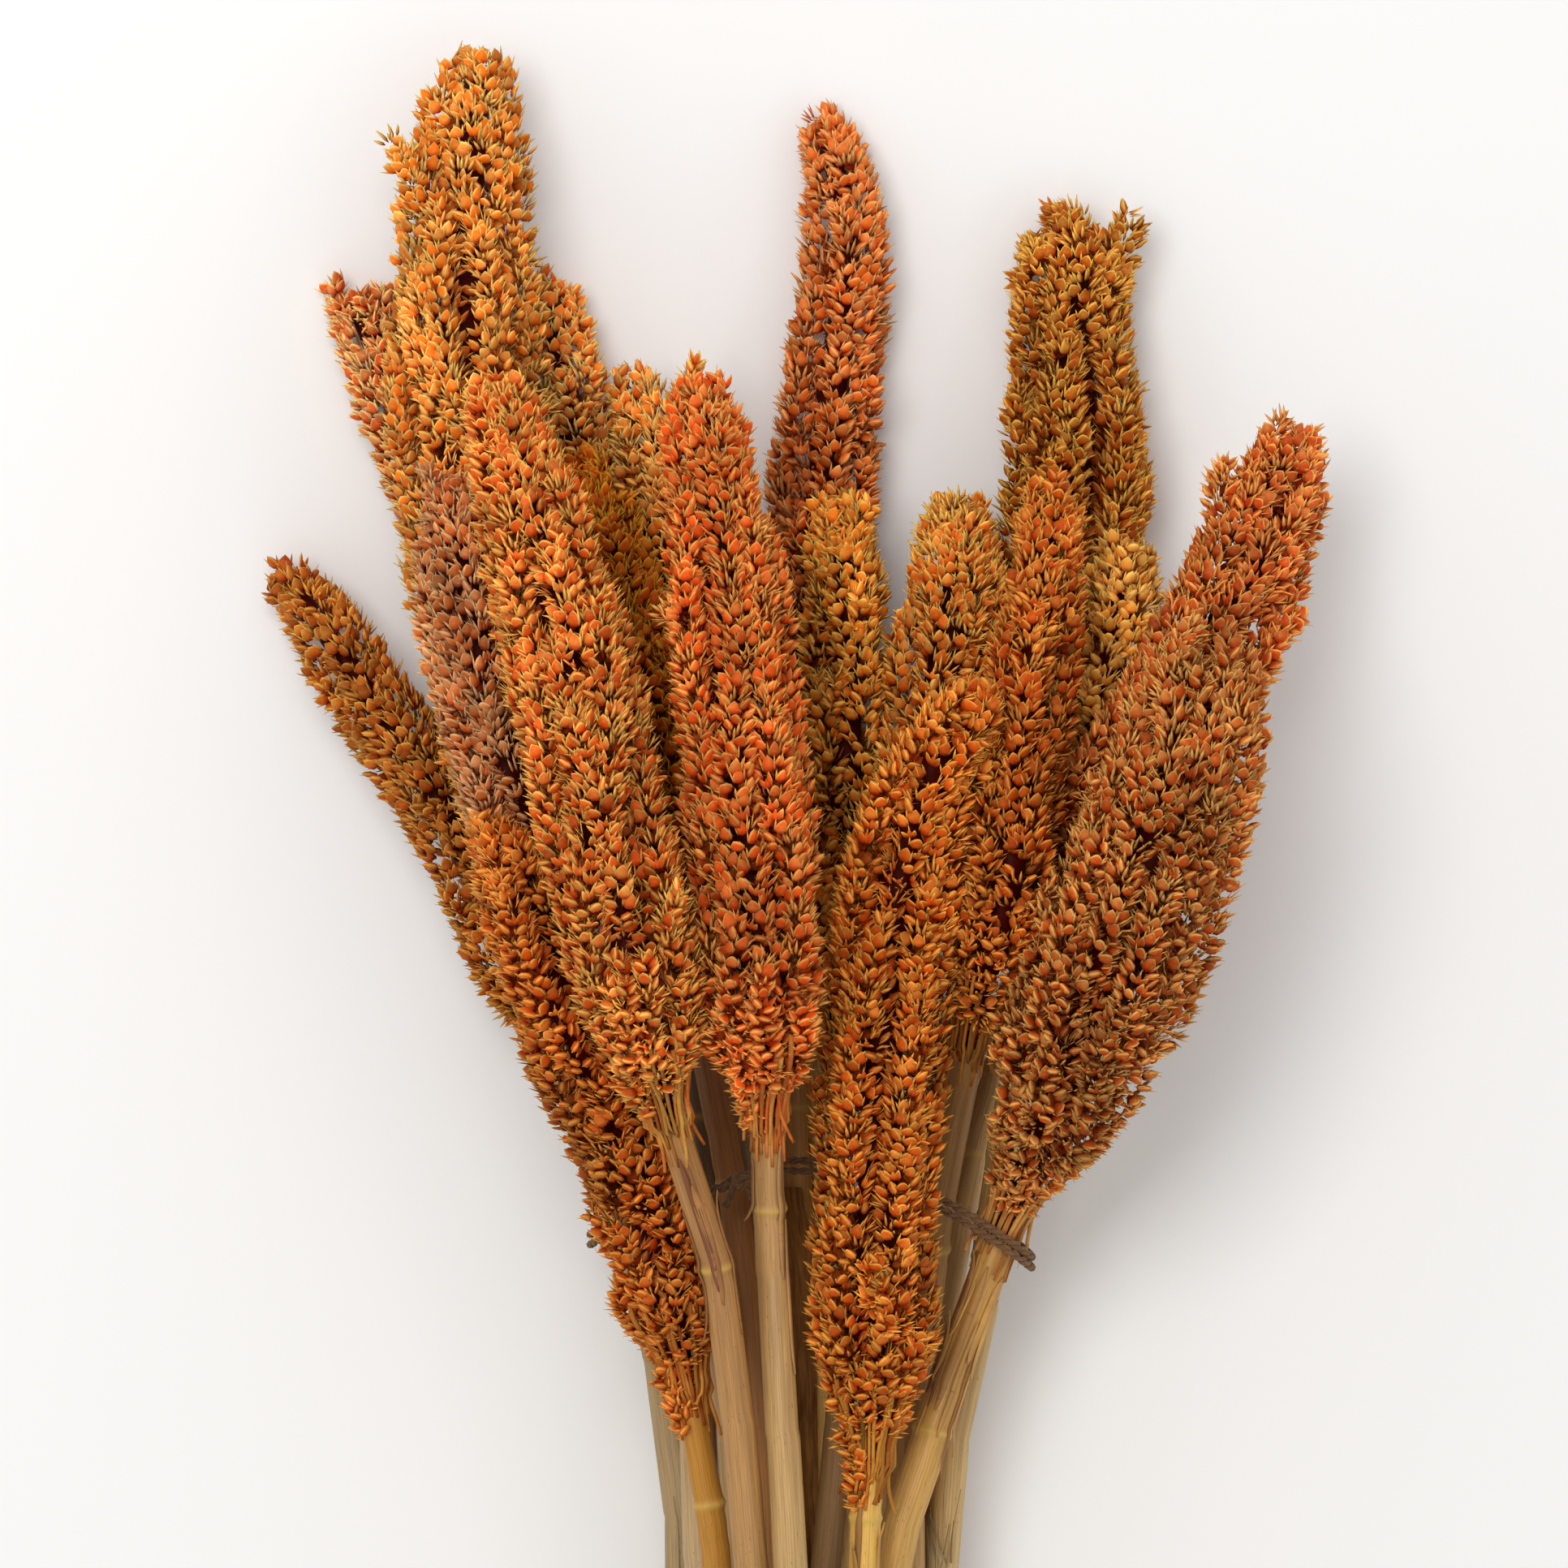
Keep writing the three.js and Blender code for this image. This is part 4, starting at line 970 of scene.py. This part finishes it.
def neck_strand(line, stem, neck, number, rng):
    """A bare fibre that lies along the stem's end and runs up into the head; a few have sprung."""
    loose = number >= STRANDS
    low_end, high_end = -rng.uniform(2, 13) * MM, neck + rng.uniform(12, 30) * MM
    s = np.linspace(low_end, high_end * (0.5 if loose else 1), STRAND_POINTS)
    place, _, sideways, upward, radius = line.at(s)
    below = s < 0
    place[below], _, sideways[below], upward[below], radius[below] = stem.at(stem.length + s[below])
    angle = number * GOLDEN_TURN + np.linspace(0, rng.uniform(-0.3, 0.3), STRAND_POINTS)
    reach = np.interp(s, [-4 * MM, 0, 40 * MM], [0, 0.3 * MM, 0]) + np.where(
        below, radius, np.maximum(radius[~below][0], 0.9 * radius))
    swing = rng.uniform(0, 0.5) * MM
    reach = reach + swing * np.sin(np.linspace(0, 6, STRAND_POINTS) + rng.uniform(0, 6))
    if loose:
        away = np.linspace(1, 0, STRAND_POINTS) ** 2
        reach = reach + away * rng.uniform(2, 5) * MM
        angle = angle + away * rng.uniform(-0.8, 0.8)
    points = place + reach[:, None] * outward(angle, sideways, upward)
    points[:, 2] = np.maximum(points[:, 2], 0.9 * MM)
    girth = np.linspace(0.5, rng.uniform(0.5, 0.95), STRAND_POINTS) * MM
    return tube_of(points, girth, STRAND_SIDES)


def cell_map(places, number, cells):
    """Shrinks a map into one cell of a square sheet of cells."""
    return (places * 0.9 + 0.05 + [number % cells, number // cells]) / cells


for number, letter in enumerate(letters):
    line, beside = spine_of("seed_head_" + letter, HEAD_STEP, HEAD_SOLID)
    rng = np.random.default_rng(500 + number)
    neck = BARE_NECKS.get(letter, NECK)
    branches = long_branches(line, neck, rng) + short_branches(letter, line, neck, rng)
    branches += [side_branch(line, *loop) for loop in beside]
    shape = Shape("husk", "tone", "deep")
    seen, dressing = dress(branches, rng, line)
    cells = math.ceil(math.sqrt(seen.sum() + 2 * STRANDS + 4))
    used = put_spikelets(shape, seen, dressing, cells)
    # Painted shade: the core takes the full deep red shade and is darkened further by its tone.
    core = tube_of(line.points[:-3], smoothed(line.radius[:-3], 2) * CORE_SHARE, CORE_SIDES)
    shape.add(*core[:3], cell_map(core[3], used, cells), deep=1.0, tone=CORE_SHADE_TONE)
    for k in range(STRANDS + LOOSE_STRANDS):
        strand = neck_strand(line, stem_spines[letter], neck, k, rng)
        shape.add(*strand[:3], cell_map(strand[3], used + 1 + k, cells), husk=rng.uniform(0.66, 0.9),
                  tone=rng.normal(-1.0, 0.5), deep=rng.uniform(0, 0.35))
    grain, husk, finish = DYES[letter]
    material = dyed_grain("dyed_grain_" + letter, grain, husk, DEEP_SHADE_RED)
    piece = shape.make("dyed_seed_head_" + letter, material)
    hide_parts("seed_head_" + letter)
    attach(piece, "root")


# ---------------------------------------------------------------------------------------------
# The leaf sheaths.
# The foot of a dead leaf still wraps three of the stems: a thin papery strip of long fibres that
# grew from the node below it, and has dried, lifted at its edges and frayed at its top.

SHEATH_STEP = 2.5 * MM
SHEATH_COLUMNS = 17
SHEATH_HALF_WRAP = 1.35
SHEATH_LIFT = 0.55 * MM
SHEATH_THICK = 0.4 * MM
SHEATH_FIBRES = 12
FIBRE_POINTS = 9
# How far each one has torn down from its top, as a share of its length.
SHEATH_TEARS = {"a": 0.5, "k": 0.35, "q": 0.3}
SLIVER_ON = "a"  # the sheath that a torn sliver of the leaf itself still hangs on
SLIVER_POINTS = 16
SLIVER_LENGTH = 46 * MM


def dry_leaf(name, pale, dark):
    """A dried leaf sheath: dull papery tissue between straight pale veins about 0.4 mm apart."""
    material, tree = new_material(name)
    around, along = marks_of(tree, "around", "along")
    tissue = add(tree, "ShaderNodeCombineXYZ", X=around, Y=along)
    veins = add(tree, "ShaderNodeMapping", Vector=tissue.outputs[0], Scale=(22.0, 12.0, 1.0))
    vein = add(tree, "ShaderNodeTexNoise", Vector=veins.outputs[0], Scale=2.0, Detail=4.0,
               Roughness=0.65)
    blots = add(tree, "ShaderNodeMapping", Vector=tissue.outputs[0], Scale=(3.0, 60.0, 1.0))
    weather = add(tree, "ShaderNodeTexNoise", Vector=blots.outputs[0], Scale=1.5, Detail=3.0)
    mottled = add(tree, "ShaderNodeMath", {"operation": "MULTIPLY_ADD"},
                  _0=weather.outputs["Fac"], _1=0.8, _2=-0.4)
    share = add(tree, "ShaderNodeMath", {"operation": "ADD"}, _0=vein.outputs["Fac"],
                _1=mottled.outputs[0])
    spread = add(tree, "ShaderNodeMapRange", Value=share.outputs[0], From_Min=0.32, From_Max=0.68)
    tint = add(tree, "ShaderNodeMix", {"data_type": "RGBA"}, _0=spread.outputs[0],
               _6=linear(dark), _7=linear(pale))
    relief = add(tree, "ShaderNodeBump", Height=vein.outputs["Fac"], Strength=0.5, Distance=0.2 * MM)
    leaf_shader = add(tree, "ShaderNodeBsdfPrincipled", Base_Color=tint.outputs[2], Roughness=0.72,
                      Specular_IOR_Level=0.3, Normal=relief.outputs[0])
    add(tree, "ShaderNodeOutputMaterial", Surface=leaf_shader.outputs[0])
    return material


def sheath_shape(stem, facing, low_s, high_s, tear, rng):
    """The sheath: a strip that wraps the front of the stem, curled at its edges, torn at its top."""
    s = np.linspace(low_s, high_s, int((high_s - low_s) / SHEATH_STEP))
    share = (s - low_s) / (high_s - low_s)
    u = np.linspace(-1, 1, SHEATH_COLUMNS)
    torn = np.clip((share - 1 + tear) / tear, 0, 1)
    wrap = SHEATH_HALF_WRAP * (1 - 0.55 * torn) * (0.85 + 0.15 * np.clip(share / 0.1, 0, 1))
    wrap = wrap + 0.07 * np.sin(s * 320 + rng.uniform(0, 6)) + 0.05 * np.sin(s * 760)
    sway = 0.5 * torn ** 2 * rng.uniform(-1, 1)
    angle = facing + sway[:, None] + wrap[:, None] * u[None]
    place, _, sideways, upward, radius = stem.at(s)
    curl = np.abs(u[None]) ** 3 * (0.25 + 0.75 * torn[:, None]) * 1.3 * MM
    ribs = 0.1 * MM * np.cos(u[None] * 26)
    reach = radius[:, None] + SHEATH_LIFT + curl + ribs + 0.7 * MM * torn[:, None] ** 2
    out = outward(angle, sideways[:, None], upward[:, None])
    outer = place[:, None] + reach[..., None] * out
    inner = place[:, None] + (reach - SHEATH_THICK)[..., None] * out
    rings = np.concatenate([outer, inner[:, ::-1]], axis=1)
    around = rings.shape[1]
    index, sides, uv = grid_faces(len(s), around, True)
    turn = np.arange(SHEATH_COLUMNS - 1)
    foot = np.stack([turn, around - 1 - turn, around - 2 - turn, turn + 1], axis=1)
    top = foot[:, ::-1] + (len(s) - 1) * around
    edge_uv = np.tile([[0.0, 0.95], [0.0, 1.0], [0.02, 1.0], [0.02, 0.95]], (2 * len(turn), 1))
    shape = Shape("around", "along")
    shape.add(rings.reshape(-1, 3), np.concatenate([index, foot.ravel(), top.ravel()]),
              np.concatenate([sides, np.full(2 * len(turn), 4)]),
              np.concatenate([uv * 0.9, edge_uv]),
              around=np.tile(np.concatenate([u, u[::-1]]), len(s)), along=np.repeat(s, around))
    return shape


def add_sheath_fibre(shape, stem, facing, start, number, rng):
    """A fibre that has frayed off an edge of the sheath."""
    s = start + np.linspace(0, rng.uniform(12, 30) * MM, FIBRE_POINTS)
    place, _, sideways, upward, radius = stem.at(np.minimum(s, stem.length - 4 * MM))
    edge = facing + rng.choice([-1, 1]) * SHEATH_HALF_WRAP * rng.uniform(0.5, 1)
    edge = edge + np.linspace(0, rng.uniform(-0.4, 0.4), FIBRE_POINTS)
    lift = 0.9 * MM + np.linspace(0, 1, FIBRE_POINTS) ** 2 * rng.uniform(0.2, 2.2) * MM
    points = place + (radius + lift)[:, None] * outward(edge, sideways, upward)
    fibre = tube_of(points, np.linspace(0.28, 0.12, FIBRE_POINTS) * MM, 4)
    shape.add(*fibre[:3], fibre[3] * 0.05 + [0.93, 0.05 + 0.07 * number],
              around=rng.uniform(-1, 1), along=start)


def add_leaf_sliver(shape, stem, start):
    """A torn sliver of the leaf itself, hanging off the outer edge of its sheath."""
    s = start + np.linspace(0, SLIVER_LENGTH, SLIVER_POINTS)
    place, _, sideways, upward, radius = stem.at(s)
    bow = np.sin(np.linspace(0, math.pi * 0.9, SLIVER_POINTS)) ** 2
    away = radius + 1.2 * MM + 4.2 * MM * bow
    out = -sideways * 0.94 + upward * 0.34
    share = np.linspace(0, 1, SLIVER_POINTS)
    half_width = np.interp(share, [0, 0.3, 1], [0.6, 1.6, 0.3]) * MM
    sliver = strip(place + away[:, None] * out, half_width, upward, 0.3 * MM)
    shape.add(*sliver[:3], sliver[3] * [0.05, 0.9] + [0.93, 0.0], around=0.3, along=s.mean())


# Pale veins and darker tissue of each sheath.
SHEATH_COLOURS = {
    "a": ("#b39a70", "#6e5836"), "k": ("#a8702e", "#6b4116"), "q": ("#b79c6c", "#7d6440"),
}
for number, letter in enumerate(sorted(SHEATH_TEARS)):
    rng = np.random.default_rng(900 + number)
    stem = stem_spines[letter]
    corners = triangles_of("leaf_sheath_" + letter).reshape(-1, 3)
    near = np.argmin(np.linalg.norm(corners[:, None] - stem.points[None], axis=2), axis=1)
    low_s, high_s = stem.s[near].min(), stem.s[near].max()
    _, _, sideways, upward, _ = stem.at(0.5 * (low_s + high_s))
    leaning = (corners - stem.points[near]).mean(axis=0)
    facing = math.atan2(leaning @ upward, leaning @ sideways)
    shape = sheath_shape(stem, facing, low_s, high_s, SHEATH_TEARS[letter], rng)
    for k in range(SHEATH_FIBRES):
        start = low_s + (high_s - low_s) * rng.uniform(0.3, 0.95)
        add_sheath_fibre(shape, stem, facing, start, k, rng)
    if letter == SLIVER_ON:
        add_leaf_sliver(shape, stem, low_s + 0.1 * (high_s - low_s))
    pale, dark = SHEATH_COLOURS[letter]
    piece = shape.make("dry_leaf_sheath_" + letter, dry_leaf("dry_leaf_" + letter, pale, dark))
    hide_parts("leaf_sheath_" + letter)
    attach(piece, "root")


# ---------------------------------------------------------------------------------------------
# The twine.
# Two turns of two-ply jute twine hold the inner stems, tied on top in a small tight knot with
# two short cut ends. The stems hold the twine all the way round, so it has no free length.

PLY_RADIUS = 0.63 * MM
PLY_OFFSET = 0.56 * MM
PLY_PITCH = 6.0 * MM  # one full turn of the plies round each other
PLY_SIDES = 8
TWINE_POINT = 0.6 * MM
ROUND_STEP = math.radians(3)
# The turns round the stems begin this far past the knot and end this far before it.
KNOT_LEAD, KNOT_LAG = math.radians(15), math.radians(9)
KNOT_POINTS = 70
TAIL_POINTS = 12
TAIL_SHARE = 0.9  # how much of the solid tail's length the yarn takes
HAIRS = 160
HAIR_POINTS = 5


def twisted(shape, path):
    """Adds two plies laid round each other along a path, and gives the twine's middle line."""
    s = lengths(path)
    at = np.linspace(0, s[-1], max(8, int(s[-1] / TWINE_POINT)))
    points = smoothed(read_at(at, s, smoothed(path, 1)), 4)
    tangent = unit(np.gradient(points, axis=0))
    beside_way = unit(np.cross(tangent, [0.05, 1.0, 0.08]))
    other_way = np.cross(beside_way, tangent)
    for ply in (0, 1):
        angle = 2 * math.pi * at / PLY_PITCH + math.pi * ply
        offset = outward(angle, beside_way, other_way)
        girth = PLY_RADIUS * (1 + 0.07 * np.sin(at * 900 + 2 * ply) + 0.05 * np.sin(at * 2300))
        body = tube_of(points + PLY_OFFSET * offset, girth, PLY_SIDES)
        turns = np.tile(np.arange(PLY_SIDES) / PLY_SIDES, len(points))
        shape.add(*body[:3], body[3] * [0.4, 0.96] + [0.02 + 0.5 * ply, 0.02],
                  around=np.append(turns, [0, 0]),
                  along=np.append(np.repeat(at, PLY_SIDES), [0, 0]))
    return points


def jute(name, pale, dark):
    """Jute yarn: dull brown bast fibres about 0.1 mm thick, drawn at 0.3 mm so that they show,
    running slantwise round each ply. They scatter light, so there is no shine."""
    material, tree = new_material(name)
    around, along = marks_of(tree, "around", "along")
    slant = add(tree, "ShaderNodeMath", {"operation": "MULTIPLY_ADD"}, _0=along, _1=240.0, _2=around)
    spun = add(tree, "ShaderNodeCombineXYZ", X=slant.outputs[0], Y=along)
    fibres = add(tree, "ShaderNodeMapping", Vector=spun.outputs[0], Scale=(7.0, 90.0, 1.0))
    fibre = add(tree, "ShaderNodeTexNoise", Vector=fibres.outputs[0], Scale=2.0, Detail=3.0,
                Roughness=0.7)
    spread = add(tree, "ShaderNodeMapRange", Value=fibre.outputs["Fac"], From_Min=0.3, From_Max=0.7)
    tint = add(tree, "ShaderNodeMix", {"data_type": "RGBA"}, _0=spread.outputs[0],
               _6=linear(dark), _7=linear(pale))
    relief = add(tree, "ShaderNodeBump", Height=fibre.outputs["Fac"], Strength=0.7, Distance=0.15 * MM)
    yarn_shader = add(tree, "ShaderNodeBsdfPrincipled", Base_Color=tint.outputs[2], Roughness=0.92,
                      Sheen_Weight=0.15, Normal=relief.outputs[0])
    add(tree, "ShaderNodeOutputMaterial", Surface=yarn_shader.outputs[0])
    return material


rng = np.random.default_rng(77)
triangles = triangles_of("twine_binding")
knot_low, knot_high = (np.array(corner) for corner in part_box("twine_knot"))
knot_middle = 0.5 * (knot_low + knot_high)
low_corner, high_corner = (np.array(corner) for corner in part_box("twine_binding"))
middle = 0.5 * (low_corner + high_corner)
knot_angle = math.atan2(knot_middle[2] - middle[2], knot_middle[0] - middle[0])
route = []
first_angle, last_angle = knot_angle + KNOT_LEAD, knot_angle + 4 * math.pi - KNOT_LAG
for angle in np.arange(first_angle, last_angle, ROUND_STEP):
    spoke = np.array([math.cos(angle), 0, math.sin(angle)])
    loops = cut(triangles, middle, np.array([-spoke[2], 0, spoke[0]]))
    spots = [tuple(centre) for centre, _ in loops if (centre - middle) @ spoke > 0]
    spots.sort(key=lambda spot: spot[1])
    route.append(spots[0] if angle < first_angle + 2 * math.pi else spots[-1])
lump = np.array([knot_middle[0], knot_middle[1] + 1.5 * MM, knot_low[2] + 1.4 * MM])
route = np.array([lump, *route, lump])
shape = Shape("around", "along")
points = twisted(shape, route)
# Stray fibres stand off the yarn all along.
share = np.linspace(0, 1, HAIR_POINTS)[:, None]
for k in range(HAIRS):
    spot = points[rng.integers(4, len(points) - 4)]
    way = unit(rng.normal(0, 1, 3))
    bend = unit(rng.normal(0, 1, 3))
    hair = spot + share * way * rng.uniform(1.6, 3.0) * MM + share ** 2 * bend * MM
    hair = tube_of(hair, np.linspace(0.09, 0.04, HAIR_POINTS) * MM, 3)
    shape.add(*hair[:3], hair[3] * 0.02 + [0.95, 0.005 * k], around=0.5, along=rng.uniform(0, 1))
yarn = jute("jute_twine", "#8a6236", "#47290c")
binding = shape.make("jute_twine_binding", yarn)
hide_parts("twine_binding")
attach(binding, "root")

# The knot is a pulled overhand, whose line is a flattened trefoil, and its tails lie side by side.
shape = Shape("around", "along")
turn = np.linspace(0, 2 * math.pi, KNOT_POINTS)
lobes = 2 + np.cos(3 * turn)
trefoil = np.stack([lobes * np.cos(2 * turn) * 0.85, lobes * np.sin(2 * turn) * 0.7,
                    np.sin(3 * turn) * 0.8 + 0.9], axis=1)
twisted(shape, lump + trefoil * MM)
share = np.linspace(0, 1, TAIL_POINTS)[:, None]
reach = (knot_low[1] - lump[1]) * TAIL_SHARE
for side in (-1, 1):
    tail = lump + np.array([side * 1.5 * MM, 0, 1.0 * MM])
    tail = tail + share * np.array([side * 2.2 * MM, reach, 0])
    twisted(shape, tail + share ** 2 * np.array([side * 0.8 * MM, 0, 0.3 * MM]))
knot = shape.make("jute_twine_knot", yarn)
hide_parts("twine_knot")
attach(knot, "root")
